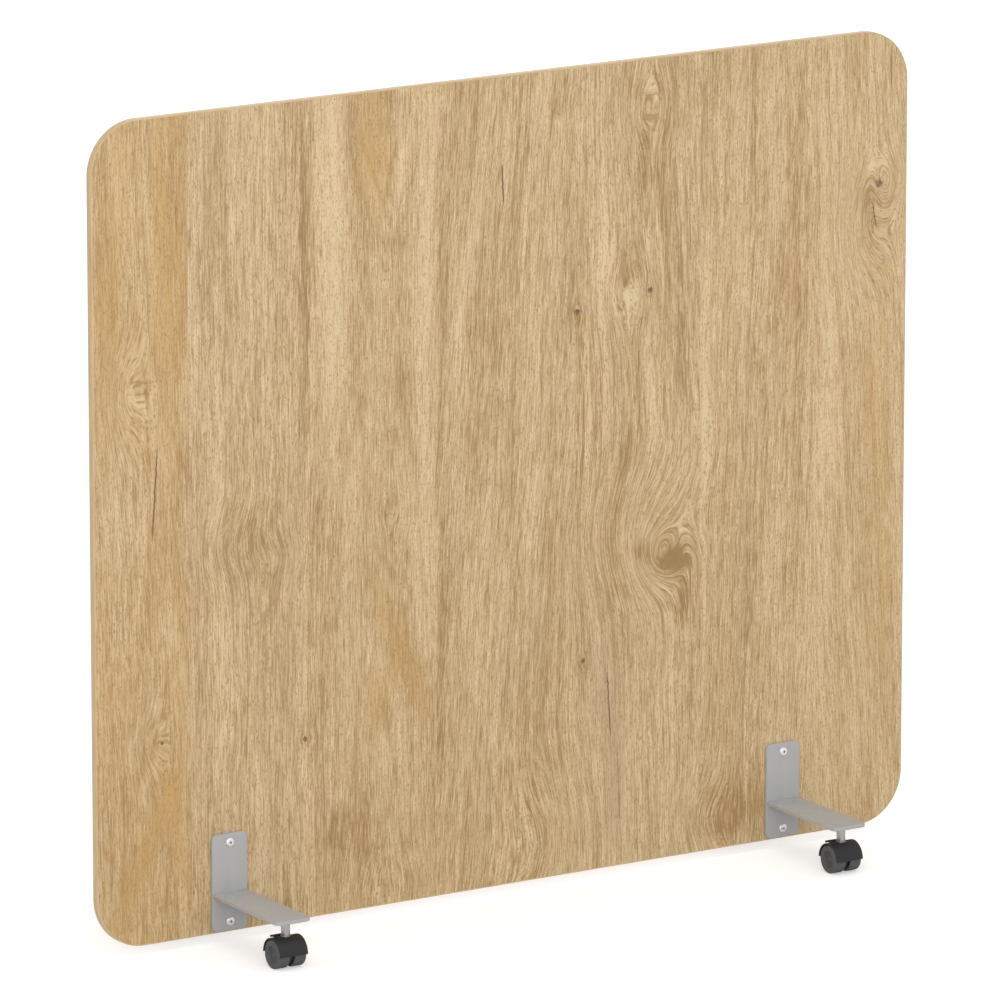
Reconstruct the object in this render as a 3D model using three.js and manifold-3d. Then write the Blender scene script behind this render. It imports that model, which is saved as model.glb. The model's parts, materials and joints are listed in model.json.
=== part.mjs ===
// Rolling partition: a laminated board on four T-shaped steel brackets, each carried by a
// twin-wheel furniture caster with a brake pedal.
//
// Units are millimetres. +Z is up, X runs along the board and -Y is the side with the bolt
// heads. The origin lies on the floor, under the middle of the board.

import * as THREE from 'three';
import { mergeVertices } from 'three/addons/utils/BufferGeometryUtils.js';
import Module from 'manifold-3d';

const wasm = await Module();
wasm.setup();

// ---------------------------------------------------------------- driving dimensions

// Board
const BOARD_WIDTH = 1350;
const BOARD_HEIGHT = 1170;
const BOARD_CORNER_RADIUS = 75;
const CORE_THICKNESS = 11;
const LAMINATE_THICKNESS = 0.5;
const BAND_THICKNESS = 1.5;
const GLUE_LINE = 0.3;

// Brackets: a mount plate bolted to the board and a foot plate welded to it
const BRACKET_FROM_BOARD_SIDE = 210.5;
const STEEL_THICKNESS = 5;
const PLATE_WIDTH = 56;
const MOUNT_PLATE_HEIGHT = 140;
const MOUNT_PLATE_CORNER_RADIUS = 8;
const MOUNT_PLATE_ABOVE_BOARD_EDGE = 3;
const FOOT_PLATE_LENGTH = 174;
const FOOT_PLATE_CORNER_RADIUS = 8;
const FOOT_PLATE_ABOVE_PLATE_END = 50.5;
const WELD_LEG = 4;

// Through bolts and the sleeve nuts that take them on the other side
const BOLT_DIAMETER = 6;
const BOLT_HEAD_DIAMETER = 12.5;
const BOLT_HEAD_HEIGHT = 3.4;
const BOLT_HEAD_CROWN = [[0.45, 0.03], [0.8, 0.22], [0.96, 0.52], [1, 0.8]];
const LOWER_BOLT_ABOVE_PLATE_END = 13.3;
const UPPER_BOLT_BELOW_PLATE_TOP = 12.7;
const CROSS_RECESS_LENGTH = 6;
const CROSS_RECESS_WIDTH = 1.3;
const CROSS_RECESS_DEPTH = 1.8;
const NUT_BARREL_DIAMETER = 9;
const NUT_HEAD_DIAMETER = 14;
const NUT_HEAD_HEIGHT = 2.2;
const NUT_HEAD_CHAMFER = 0.9;
const NUT_SLOT_WIDTH = 1.6;
const NUT_SLOT_DEPTH = 1;
const BOLT_END_CLEARANCE = 1;

// Swivel: a sleeve under the foot plate, with the caster's stem turning in it
const SWIVEL_FROM_FOOT_END = 24.5;
const SLEEVE_DIAMETER = 12.7;
const SLEEVE_LENGTH = 21.8;
const SLEEVE_WALL = 1.75;
const STEM_DIAMETER = 8;
const STEM_END_CLEARANCE = 3;
const STEM_CHAMFER = 0.8;
const STEM_ABOVE_WHEEL = 1.2;
const PIN_DIAMETER = 4.6;
const PIN_LENGTH = 14;
const GRIP_GROOVE_DEPTH = 0.8;
const GRIP_RING_WIDTH = 2;
const GRIP_RING_FROM_STEM_TOP = 3;
const GRIP_RING_OPENING = 40;
const WASHER_THICKNESS = 1;
const WASHER_DIAMETER = 14;

// Wheels
const WHEEL_DIAMETER = 41;
const WHEEL_WIDTH = 18;
const WHEEL_GAP = 8;
const WHEEL_EDGE_RADIUS = 1.8;
const WHEEL_INNER_CHAMFER = 1.2;
const WHEEL_RIM_THICKNESS = 3.8;
const WHEEL_RECESS_DIAMETER = 24.5;
const WHEEL_RECESS_DEPTH = 4;
const WHEEL_RECESS_TAPER = 0.8;
const WHEEL_DISC_THICKNESS = 3.5;
const WHEEL_HUB_DIAMETER = 13;
const WHEEL_HUB_CAP_DIAMETER = 8;
const WHEEL_HUB_CAP_HEIGHT = 1.5;
const WHEEL_HUB_CAP_TAPER = 0.8;
const AXLE_DIAMETER = 5.6;
const AXLE_COVER = 2.5;

// Hood over the wheels, round the same axis
const HOOD_WIDTH = 45;
const HOOD_WALL = 1.9;
const HOOD_OVER_WHEEL = 1.2;
const HOOD_BOSS_DIAMETER = 16;
const HOOD_BOSS_RISE = 0.3;
const HOOD_BOSS_DEPTH = 10;
const HOOD_WEB_DIAMETER = 32;
const HOOD_WEB_SIDE_GAP = 0.4;
const HOOD_COLUMN_DEPTH = 12;

// Brake pedal, hinged on two ears of the hood
const PEDAL_WIDTH = 16.4;
const PEDAL_LENGTH = 19;
const PEDAL_THICKNESS = 3;
const PEDAL_SLOPE = 15.5;
const PEDAL_PIVOT_ANGLE = 62;
const PEDAL_PIVOT_OVER_HOOD = 1.7;
const PEDAL_KNUCKLE_RADIUS = 2.1;
const PEDAL_TRUNNION_DIAMETER = 2.4;
const PEDAL_TRUNNION_LENGTH = 2;
const EAR_THICKNESS = 2.2;
const EAR_HEIGHT = 8;
const SHOE_WIDTH = 12;
const SHOE_THICKNESS = 4.4;
const SHOE_ANGLE = 50;
const SHOE_OVER_WHEEL = 1;
const SHOE_TRAVEL_ROOM = 0.9;

// Clearances
const FIT_GAP = 0.3;
const RUNNING_GAP = 0.3;

// How far a cutting body passes through the face it opens
const CUT_OVERRUN = 1;

// Steps of a full turn on turned pieces and rods
const WHEEL_STEPS = 24;
const HOOD_STEPS = 36;
const ROUND_STEPS = 16;
const SMALL_STEPS = 12;

// Half the steps of one arc in an extruded outline
const BOARD_ARC_STEPS = 8;
const PLATE_ARC_STEPS = 6;
const RING_ARC_STEPS = 8;

// ------------------------------------------------------------------- derived heights

const boardThickness = CORE_THICKNESS + 2 * LAMINATE_THICKNESS;
const wheelRadius = WHEEL_DIAMETER / 2;
const axleHeight = wheelRadius;
const hoodInnerRadius = wheelRadius + HOOD_OVER_WHEEL;
const hoodOuterRadius = hoodInnerRadius + HOOD_WALL;
const bossTop = axleHeight + hoodOuterRadius + HOOD_BOSS_RISE;
const sleeveBottom = bossTop + WASHER_THICKNESS + RUNNING_GAP;
const footPlateBottom = sleeveBottom + SLEEVE_LENGTH;
const mountPlateBottom = footPlateBottom - FOOT_PLATE_ABOVE_PLATE_END;
const boardBottom = mountPlateBottom - MOUNT_PLATE_ABOVE_BOARD_EDGE;
const bracketX = BOARD_WIDTH / 2 - BRACKET_FROM_BOARD_SIDE;
const boltHeights = [
  mountPlateBottom + LOWER_BOLT_ABOVE_PLATE_END,
  mountPlateBottom + MOUNT_PLATE_HEIGHT - UPPER_BOLT_BELOW_PLATE_TOP,
];

const stemRadius = STEM_DIAMETER / 2;
const pinRadius = PIN_DIAMETER / 2;
const stemTop = footPlateBottom - STEM_END_CLEARANCE;
const shoulderHeight = axleHeight + wheelRadius + STEM_ABOVE_WHEEL;
const pinBottom = shoulderHeight - PIN_LENGTH;
const boreDepth = WHEEL_WIDTH - WHEEL_RECESS_DEPTH - AXLE_COVER;
const pivotRadius = hoodOuterRadius + PEDAL_PIVOT_OVER_HOOD;
const pivotAngle = THREE.MathUtils.degToRad(PEDAL_PIVOT_ANGLE);
const pivotY = pivotRadius * Math.cos(pivotAngle);
const pivotZ = axleHeight + pivotRadius * Math.sin(pivotAngle);

// -------------------------------------------------------------------------- finishes

const finishes = {
  oak: { color: 0xc7a97d, roughness: 0.55, metalness: 0 },
  fibreboard: { color: 0xa98a62, roughness: 0.9, metalness: 0 },
  oakBand: { color: 0xc5ae85, roughness: 0.5, metalness: 0 },
  paintedSteel: { color: 0xaaaaa8, roughness: 0.45, metalness: 0.35 },
  zincSteel: { color: 0xd8d9da, roughness: 0.3, metalness: 0.9 },
  springSteel: { color: 0x8d8f92, roughness: 0.35, metalness: 1 },
  darkNylon: { color: 0x3c3c3d, roughness: 0.5, metalness: 0 },
  wheelNylon: { color: 0x525253, roughness: 0.55, metalness: 0 },
};

// --------------------------------------------------------------------------- helpers

function solidFrom(geometry) {
  const plain = geometry.index ? geometry.toNonIndexed() : geometry.clone();
  plain.deleteAttribute('normal');
  plain.deleteAttribute('uv');
  const merged = mergeVertices(plain);
  const mesh = new wasm.Mesh({
    numProp: 3,
    vertProperties: new Float32Array(merged.attributes.position.array),
    triVerts: new Uint32Array(merged.index.array),
  });
  return new wasm.Manifold(mesh);
}

function geometryFrom(solid) {
  const mesh = solid.getMesh();
  const geometry = new THREE.BufferGeometry();
  geometry.setAttribute('position', new THREE.BufferAttribute(mesh.vertProperties, 3));
  geometry.setIndex(new THREE.BufferAttribute(mesh.triVerts, 1));
  geometry.computeVertexNormals();
  return geometry;
}

function piece(name, finish, geometry) {
  const mesh = new THREE.Mesh(geometry, new THREE.MeshStandardMaterial(finishes[finish]));
  mesh.name = name;
  return mesh;
}

function join(...geometries) {
  return geometries.map(solidFrom).reduce((sum, solid) => sum.add(solid));
}

function roundedRectangle(width, height, radius) {
  const x = width / 2 - radius;
  const y = height / 2 - radius;
  const shape = new THREE.Shape();
  shape.absarc(x, y, radius, 0, Math.PI / 2, false);
  shape.absarc(-x, y, radius, Math.PI / 2, Math.PI, false);
  shape.absarc(-x, -y, radius, Math.PI, 1.5 * Math.PI, false);
  shape.absarc(x, -y, radius, 1.5 * Math.PI, 2 * Math.PI, false);
  shape.closePath();
  return shape;
}

function addRoundHole(shape, x, y, radius) {
  const hole = new THREE.Path();
  hole.absarc(x, y, radius, 0, 2 * Math.PI, true);
  shape.holes.push(hole);
}

function extrude(shape, depth, curveSegments) {
  return new THREE.ExtrudeGeometry(shape, { depth, bevelEnabled: false, curveSegments });
}

// The outline is drawn in X and Z; the solid fills the depth from y = back to y = back - depth.
function slabFacingFront(shape, depth, back, curveSegments) {
  const geometry = extrude(shape, depth, curveSegments);
  geometry.rotateX(Math.PI / 2);
  return geometry.translate(0, back, 0);
}

// The outline is drawn in Y and Z; the solid fills x = centre - width / 2 to centre + width / 2.
function barAlongX(shape, width, centre = 0, curveSegments = PLATE_ARC_STEPS) {
  const geometry = extrude(shape, width, curveSegments);
  geometry.translate(0, 0, -width / 2);
  const turn = new THREE.Matrix4().makeBasis(
    new THREE.Vector3(0, 1, 0),
    new THREE.Vector3(0, 0, 1),
    new THREE.Vector3(1, 0, 0),
  );
  geometry.applyMatrix4(turn);
  return geometry.translate(centre, 0, 0);
}

function rodAlongX(radius, length, y, z, steps = SMALL_STEPS) {
  const geometry = new THREE.CylinderGeometry(radius, radius, length, steps);
  geometry.rotateZ(Math.PI / 2);
  return geometry.translate(0, y, z);
}

function rodAlongZ(radius, bottom, top, steps = ROUND_STEPS) {
  const geometry = new THREE.CylinderGeometry(radius, radius, top - bottom, steps);
  geometry.rotateX(Math.PI / 2);
  return geometry.translate(0, 0, (bottom + top) / 2);
}

function box(width, depth, height, x, y, z) {
  return new THREE.BoxGeometry(width, depth, height).translate(x, y, z);
}

// A profile of [radius, height] pairs, turned about the Y axis, anticlockwise round the metal.
function turned(profile, steps) {
  const points = profile.map(([radius, height]) => new THREE.Vector2(radius, height));
  return new THREE.LatheGeometry(points, steps);
}

function turnedAboutZ(profile, steps) {
  return turned(profile, steps).rotateX(Math.PI / 2);
}

// ----------------------------------------------------------------------------- board

function boardOutline(inset) {
  return roundedRectangle(
    BOARD_WIDTH - 2 * inset,
    BOARD_HEIGHT - 2 * inset,
    BOARD_CORNER_RADIUS - inset,
  );
}

function boltPlaces() {
  return [-bracketX, bracketX].flatMap((x) => boltHeights.map((z) => [x, z]));
}

function boardLayer(thickness, back) {
  const outline = boardOutline(BAND_THICKNESS + GLUE_LINE);
  const middle = boardBottom + BOARD_HEIGHT / 2;
  for (const [x, z] of boltPlaces()) {
    addRoundHole(outline, x, z - middle, NUT_BARREL_DIAMETER / 2 + FIT_GAP);
  }
  return slabFacingFront(outline, thickness, back, BOARD_ARC_STEPS).translate(0, 0, middle);
}

function edgeBand() {
  const outline = boardOutline(0);
  outline.holes.push(boardOutline(BAND_THICKNESS));
  const band = slabFacingFront(outline, boardThickness, boardThickness / 2, BOARD_ARC_STEPS);
  return band.translate(0, 0, boardBottom + BOARD_HEIGHT / 2);
}

function board() {
  const group = new THREE.Group();
  const coreBack = CORE_THICKNESS / 2;
  group.add(piece('board_core', 'fibreboard', boardLayer(CORE_THICKNESS, coreBack)));
  group.add(piece('front_laminate', 'oak', boardLayer(LAMINATE_THICKNESS, -coreBack)));
  group.add(piece('rear_laminate', 'oak', boardLayer(LAMINATE_THICKNESS, boardThickness / 2)));
  group.add(piece('edge_band', 'oakBand', edgeBand()));
  return group;
}

// -------------------------------------------------------------------------- brackets
//
// A bracket is drawn in its own frame: y = 0 is the board's face and -Y points away from it.

function mountPlate(holeRadius) {
  const outline = roundedRectangle(PLATE_WIDTH, MOUNT_PLATE_HEIGHT, MOUNT_PLATE_CORNER_RADIUS);
  const middle = mountPlateBottom + MOUNT_PLATE_HEIGHT / 2;
  for (const z of boltHeights) {
    addRoundHole(outline, 0, z - middle, holeRadius);
  }
  return slabFacingFront(outline, STEEL_THICKNESS, 0, PLATE_ARC_STEPS).translate(0, 0, middle);
}

function footPlate() {
  const half = PLATE_WIDTH / 2;
  const radius = FOOT_PLATE_CORNER_RADIUS;
  const back = -STEEL_THICKNESS;
  const front = back - FOOT_PLATE_LENGTH;
  const outline = new THREE.Shape();
  outline.moveTo(half, back);
  outline.lineTo(-half, back);
  outline.absarc(-half + radius, front + radius, radius, Math.PI, 1.5 * Math.PI, false);
  outline.absarc(half - radius, front + radius, radius, 1.5 * Math.PI, 2 * Math.PI, false);
  outline.closePath();
  return extrude(outline, STEEL_THICKNESS, PLATE_ARC_STEPS).translate(0, 0, footPlateBottom);
}

// The fillet weld in the corner under the foot plate.
function weldBead() {
  const corner = new THREE.Vector2(-STEEL_THICKNESS, footPlateBottom);
  const outline = new THREE.Shape();
  outline.moveTo(corner.x, corner.y);
  outline.lineTo(corner.x - WELD_LEG, corner.y);
  outline.lineTo(corner.x, corner.y - WELD_LEG);
  outline.closePath();
  return barAlongX(outline, PLATE_WIDTH - 2 * WELD_LEG);
}

function swivelSleeve() {
  const outer = SLEEVE_DIAMETER / 2;
  const inner = outer - SLEEVE_WALL;
  const profile = [
    [inner, 0],
    [outer, 0],
    [outer, SLEEVE_LENGTH],
    [inner, SLEEVE_LENGTH],
    [inner, 0],
  ];
  return turnedAboutZ(profile, ROUND_STEPS).translate(0, 0, sleeveBottom);
}

function bracket(place, isNutSide) {
  const holeRadius = (isNutSide ? NUT_BARREL_DIAMETER : BOLT_DIAMETER) / 2 + FIT_GAP;
  const group = new THREE.Group();
  group.add(piece(`${place}_mount_plate`, 'paintedSteel', mountPlate(holeRadius)));
  group.add(piece(`${place}_foot_plate`, 'paintedSteel', footPlate()));
  group.add(piece(`${place}_weld_bead`, 'paintedSteel', weldBead()));
  const swivel = new THREE.Group();
  swivel.position.y = -STEEL_THICKNESS - FOOT_PLATE_LENGTH + SWIVEL_FROM_FOOT_END;
  swivel.add(piece(`${place}_swivel_sleeve`, 'zincSteel', swivelSleeve()));
  swivel.add(caster(place));
  group.add(swivel);
  return group;
}

// ------------------------------------------------------------------------- fasteners

function boltGeometry() {
  const seat = -boardThickness / 2 - STEEL_THICKNESS;
  const shank = BOLT_DIAMETER / 2;
  const head = BOLT_HEAD_DIAMETER / 2;
  const crown = seat - BOLT_HEAD_HEIGHT;
  const tip = boardThickness / 2 + STEEL_THICKNESS - 2 * BOLT_END_CLEARANCE;
  const dome = BOLT_HEAD_CROWN.map(([share, drop]) => [
    share * head,
    crown + drop * BOLT_HEAD_HEIGHT,
  ]);
  const body = turned([
    [0, crown],
    ...dome,
    [head, seat],
    [shank, seat],
    [shank, tip],
    [0, tip],
  ], SMALL_STEPS);
  const depth = 2 * CROSS_RECESS_DEPTH;
  const cross = join(
    box(CROSS_RECESS_LENGTH, depth, CROSS_RECESS_WIDTH, 0, crown, 0),
    box(CROSS_RECESS_WIDTH, depth, CROSS_RECESS_LENGTH, 0, crown, 0),
  );
  return geometryFrom(solidFrom(body).subtract(cross));
}

function sleeveNutGeometry() {
  const seat = boardThickness / 2 + STEEL_THICKNESS;
  const bore = BOLT_DIAMETER / 2 + FIT_GAP;
  const barrel = NUT_BARREL_DIAMETER / 2;
  const head = NUT_HEAD_DIAMETER / 2;
  const mouth = -boardThickness / 2 + FIT_GAP;
  const crown = seat + NUT_HEAD_HEIGHT;
  const body = turned([
    [0, seat - BOLT_END_CLEARANCE],
    [bore, seat - BOLT_END_CLEARANCE],
    [bore, mouth],
    [barrel, mouth],
    [barrel, seat],
    [head, seat],
    [head, crown - NUT_HEAD_CHAMFER],
    [head - NUT_HEAD_CHAMFER, crown],
    [0, crown],
  ], SMALL_STEPS);
  const slot = box(NUT_HEAD_DIAMETER, 2 * NUT_SLOT_DEPTH, NUT_SLOT_WIDTH, 0, crown, 0);
  return geometryFrom(solidFrom(body).subtract(solidFrom(slot)));
}

function fasteners() {
  const group = new THREE.Group();
  const sides = { left: -bracketX, right: bracketX };
  for (const [side, x] of Object.entries(sides)) {
    for (const [level, z] of Object.entries({ lower: boltHeights[0], upper: boltHeights[1] })) {
      const bolt = piece(`${side}_${level}_bolt`, 'zincSteel', boltGeometry());
      const nut = piece(`${side}_${level}_sleeve_nut`, 'zincSteel', sleeveNutGeometry());
      bolt.position.set(x, 0, z);
      nut.position.set(x, 0, z);
      group.add(bolt, nut);
    }
  }
  return group;
}

// --------------------------------------------------------------------------- casters
//
// A caster is drawn in its own frame: the swivel axis is Z, and the pedal is on the +Y side.

// A stem that turns in the sleeve; the pin below its shoulder sits in the hood's column.
function stem() {
  const groove = stemRadius - GRIP_GROOVE_DEPTH;
  const grooveTop = stemTop - GRIP_RING_FROM_STEM_TOP;
  const grooveBottom = grooveTop - GRIP_RING_WIDTH - 2 * FIT_GAP;
  const profile = [
    [0, pinBottom],
    [pinRadius, pinBottom],
    [pinRadius, shoulderHeight],
    [stemRadius, shoulderHeight],
    [stemRadius, grooveBottom],
    [groove, grooveBottom],
    [groove, grooveTop],
    [stemRadius, grooveTop],
    [stemRadius, stemTop - STEM_CHAMFER],
    [stemRadius - STEM_CHAMFER, stemTop],
    [0, stemTop],
  ];
  return turnedAboutZ(profile, SMALL_STEPS);
}

// A spring ring in the stem's groove keeps the stem in the sleeve.
function gripRing() {
  const inner = stemRadius - GRIP_GROOVE_DEPTH + FIT_GAP;
  const outer = SLEEVE_DIAMETER / 2 - SLEEVE_WALL - FIT_GAP;
  const opening = THREE.MathUtils.degToRad(GRIP_RING_OPENING / 2);
  const outline = new THREE.Shape();
  outline.absarc(0, 0, outer, opening, 2 * Math.PI - opening, false);
  outline.absarc(0, 0, inner, 2 * Math.PI - opening, opening, true);
  outline.closePath();
  const bottom = stemTop - GRIP_RING_FROM_STEM_TOP - FIT_GAP - GRIP_RING_WIDTH;
  return extrude(outline, GRIP_RING_WIDTH, RING_ARC_STEPS).translate(0, 0, bottom);
}

function thrustWasher() {
  const inner = stemRadius + FIT_GAP;
  const outer = WASHER_DIAMETER / 2;
  const outline = new THREE.Shape();
  outline.absarc(0, 0, outer, 0, 2 * Math.PI, false);
  addRoundHole(outline, 0, 0, inner);
  return extrude(outline, WASHER_THICKNESS, RING_ARC_STEPS).translate(0, 0, bossTop);
}

function wheel(side) {
  const rim = wheelRadius - WHEEL_RIM_THICKNESS;
  const edge = WHEEL_EDGE_RADIUS;
  const recess = WHEEL_RECESS_DIAMETER / 2;
  const recessFloor = WHEEL_WIDTH - WHEEL_RECESS_DEPTH;
  const cavityDepth = recessFloor - WHEEL_DISC_THICKNESS;
  const bore = AXLE_DIAMETER / 2 + FIT_GAP;
  const hub = WHEEL_HUB_DIAMETER / 2;
  const cap = WHEEL_HUB_CAP_DIAMETER / 2;
  const arcDrop = (1 - Math.SQRT1_2) * edge;
  const profile = [
    [0, boreDepth],
    [bore, boreDepth],
    [bore, 0],
    [hub, 0],
    [hub, cavityDepth],
    [rim, cavityDepth],
    [rim, 0],
    [wheelRadius - WHEEL_INNER_CHAMFER, 0],
    [wheelRadius, WHEEL_INNER_CHAMFER],
    [wheelRadius, WHEEL_WIDTH - edge],
    [wheelRadius - arcDrop, WHEEL_WIDTH - arcDrop],
    [wheelRadius - edge, WHEEL_WIDTH],
    [recess, WHEEL_WIDTH],
    [recess - WHEEL_RECESS_TAPER, recessFloor],
    [cap, recessFloor],
    [cap - WHEEL_HUB_CAP_TAPER, recessFloor + WHEEL_HUB_CAP_HEIGHT],
    [0, recessFloor + WHEEL_HUB_CAP_HEIGHT],
  ];
  const geometry = turned(profile, WHEEL_STEPS);
  geometry.rotateZ(-side * Math.PI / 2);
  return geometry.translate(side * WHEEL_GAP / 2, 0, axleHeight);
}

function axle() {
  const length = WHEEL_GAP + 2 * (boreDepth - FIT_GAP);
  return rodAlongX(AXLE_DIAMETER / 2, length, 0, axleHeight);
}

function halfDisc(radius) {
  const outline = new THREE.Shape();
  outline.absarc(0, axleHeight, radius, 0, Math.PI, false);
  outline.closePath();
  return outline;
}

function pedalEar(side) {
  const radius = PEDAL_KNUCKLE_RADIUS + FIT_GAP;
  const outline = new THREE.Shape();
  outline.absarc(pivotY, pivotZ, radius, 0, Math.PI, false);
  outline.lineTo(pivotY - radius, pivotZ - EAR_HEIGHT);
  outline.lineTo(pivotY + radius, pivotZ - EAR_HEIGHT);
  outline.closePath();
  const centre = side * (PEDAL_WIDTH / 2 + FIT_GAP + EAR_THICKNESS / 2);
  return barAlongX(outline, EAR_THICKNESS, centre);
}

// A block that stands on the wheel's tread at the shoe's angle, from one radius to another.
function treadBlock(width, innerRadius, outerRadius, before, after) {
  const angle = THREE.MathUtils.degToRad(SHOE_ANGLE);
  const geometry = box(
    width,
    outerRadius - innerRadius,
    before + after,
    0,
    (innerRadius + outerRadius) / 2,
    (after - before) / 2,
  );
  return geometry.rotateX(angle).translate(0, 0, axleHeight);
}

// A shell over both wheels, with a web between them that carries the axle and the stem's pin.
function hood() {
  const webThickness = WHEEL_GAP - 2 * HOOD_WEB_SIDE_GAP;
  const webDisc = rodAlongX(HOOD_WEB_DIAMETER / 2, webThickness, 0, axleHeight, WHEEL_STEPS);
  const columnHeight = hoodOuterRadius - HOOD_WALL / 2;
  const columnMiddle = axleHeight + columnHeight / 2;
  const column = box(webThickness, HOOD_COLUMN_DEPTH, columnHeight, 0, 0, columnMiddle);
  const outside = join(
    barAlongX(halfDisc(hoodOuterRadius), HOOD_WIDTH, 0, HOOD_STEPS / 4),
    rodAlongZ(HOOD_BOSS_DIAMETER / 2, bossTop - HOOD_BOSS_DEPTH, bossTop),
    pedalEar(-1),
    pedalEar(1),
  );
  const cutWidth = HOOD_WIDTH + 2 * CUT_OVERRUN;
  const wheelSpace = rodAlongX(hoodInnerRadius, cutWidth, 0, axleHeight, HOOD_STEPS);
  const shell = outside.subtract(solidFrom(wheelSpace)).add(join(webDisc, column));
  const openTop = bossTop + CUT_OVERRUN;
  const cuts = join(
    rodAlongZ(stemRadius + FIT_GAP, shoulderHeight - FIT_GAP, openTop),
    rodAlongZ(pinRadius + FIT_GAP, pinBottom - FIT_GAP, openTop, SMALL_STEPS),
    rodAlongX(AXLE_DIAMETER / 2 + FIT_GAP, WHEEL_GAP, 0, axleHeight),
    rodAlongX(
      PEDAL_TRUNNION_DIAMETER / 2 + FIT_GAP,
      PEDAL_WIDTH + 2 * (FIT_GAP + EAR_THICKNESS + CUT_OVERRUN),
      pivotY,
      pivotZ,
    ),
    rodAlongX(PEDAL_KNUCKLE_RADIUS + FIT_GAP, PEDAL_WIDTH + 2 * FIT_GAP, pivotY, pivotZ),
    treadBlock(
      SHOE_WIDTH + 2 * FIT_GAP,
      hoodInnerRadius - CUT_OVERRUN,
      hoodOuterRadius + CUT_OVERRUN,
      SHOE_THICKNESS / 2 + FIT_GAP,
      SHOE_THICKNESS / 2 + FIT_GAP + SHOE_TRAVEL_ROOM,
    ),
  );
  return geometryFrom(shell.subtract(cuts));
}

// A pedal with trunnions that snap into the ears, and a shoe that reaches down to the treads.
function brakePedal() {
  const slope = THREE.MathUtils.degToRad(PEDAL_SLOPE);
  const tipRadius = PEDAL_THICKNESS / 2;
  const tipMiddle = PEDAL_LENGTH - tipRadius;
  const top = PEDAL_KNUCKLE_RADIUS - FIT_GAP;
  const outline = new THREE.Shape();
  outline.absarc(tipMiddle, top - tipRadius, tipRadius, -Math.PI / 2, Math.PI / 2, false);
  outline.lineTo(0, top);
  outline.lineTo(0, top - PEDAL_THICKNESS);
  outline.closePath();
  const plate = barAlongX(outline, PEDAL_WIDTH)
    .rotateX(-slope)
    .translate(0, pivotY, pivotZ);
  const knuckle = rodAlongX(PEDAL_KNUCKLE_RADIUS, PEDAL_WIDTH, pivotY, pivotZ);
  const trunnions = rodAlongX(
    PEDAL_TRUNNION_DIAMETER / 2,
    PEDAL_WIDTH + 2 * PEDAL_TRUNNION_LENGTH,
    pivotY,
    pivotZ,
  );
  const shoe = treadBlock(
    SHOE_WIDTH,
    wheelRadius + SHOE_OVER_WHEEL,
    pivotRadius + top,
    SHOE_THICKNESS / 2,
    SHOE_THICKNESS / 2,
  );
  return geometryFrom(join(plate, knuckle, trunnions, shoe));
}

function caster(place) {
  const group = new THREE.Group();
  group.add(piece(`${place}_stem`, 'zincSteel', stem()));
  group.add(piece(`${place}_grip_ring`, 'springSteel', gripRing()));
  group.add(piece(`${place}_thrust_washer`, 'zincSteel', thrustWasher()));
  group.add(piece(`${place}_hood`, 'darkNylon', hood()));
  group.add(piece(`${place}_axle`, 'springSteel', axle()));
  group.add(piece(`${place}_wheel_left`, 'wheelNylon', wheel(-1)));
  group.add(piece(`${place}_wheel_right`, 'wheelNylon', wheel(1)));
  group.add(piece(`${place}_brake_pedal`, 'darkNylon', brakePedal()));
  return group;
}

// -------------------------------------------------------------------------- assembly

function brackets() {
  const group = new THREE.Group();
  for (const [side, x] of Object.entries({ left: -bracketX, right: bracketX })) {
    const front = bracket(`front_${side}`, false);
    front.position.set(x, -boardThickness / 2, 0);
    const rear = bracket(`rear_${side}`, true);
    rear.position.set(x, boardThickness / 2, 0);
    rear.rotation.z = Math.PI;
    group.add(front, rear);
  }
  return group;
}

const partition = new THREE.Group();
partition.add(board());
partition.add(brackets());
partition.add(fasteners());

export default partition;
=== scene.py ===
"""Looks of the rolling partition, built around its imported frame.

The board keeps its CAD layers and gets an oak decor. The brackets, fasteners and casters are
modelled finely over their CAD nodes. Sizes are in metres; mm() turns millimetres into metres.
"""

import json
import logging
import math
from contextlib import contextmanager
from dataclasses import dataclass, field
from enum import Enum
from typing import Callable, ClassVar, Iterable, Iterator, Sequence

import bmesh
import bpy
from mathutils import Matrix, Vector

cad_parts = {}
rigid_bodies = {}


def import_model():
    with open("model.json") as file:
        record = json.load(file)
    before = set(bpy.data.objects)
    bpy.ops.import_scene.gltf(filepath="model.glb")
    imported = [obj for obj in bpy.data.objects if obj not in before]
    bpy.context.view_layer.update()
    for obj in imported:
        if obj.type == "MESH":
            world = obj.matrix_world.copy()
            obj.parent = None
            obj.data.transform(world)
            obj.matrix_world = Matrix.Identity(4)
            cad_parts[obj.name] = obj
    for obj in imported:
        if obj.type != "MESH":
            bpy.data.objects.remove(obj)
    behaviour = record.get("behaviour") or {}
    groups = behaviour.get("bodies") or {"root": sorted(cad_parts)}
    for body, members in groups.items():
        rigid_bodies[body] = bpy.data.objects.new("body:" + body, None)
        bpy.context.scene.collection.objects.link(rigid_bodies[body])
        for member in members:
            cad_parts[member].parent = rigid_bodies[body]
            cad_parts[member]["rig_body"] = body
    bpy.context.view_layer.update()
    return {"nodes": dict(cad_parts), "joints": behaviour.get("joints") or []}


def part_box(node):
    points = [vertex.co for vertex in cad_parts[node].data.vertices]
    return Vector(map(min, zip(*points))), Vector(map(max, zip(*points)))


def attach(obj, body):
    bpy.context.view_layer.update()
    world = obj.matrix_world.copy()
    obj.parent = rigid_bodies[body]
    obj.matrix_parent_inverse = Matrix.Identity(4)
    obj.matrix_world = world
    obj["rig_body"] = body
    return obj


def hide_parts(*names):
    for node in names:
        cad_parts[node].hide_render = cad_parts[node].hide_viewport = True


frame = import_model()

log = logging.getLogger("rolling_partition")

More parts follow.
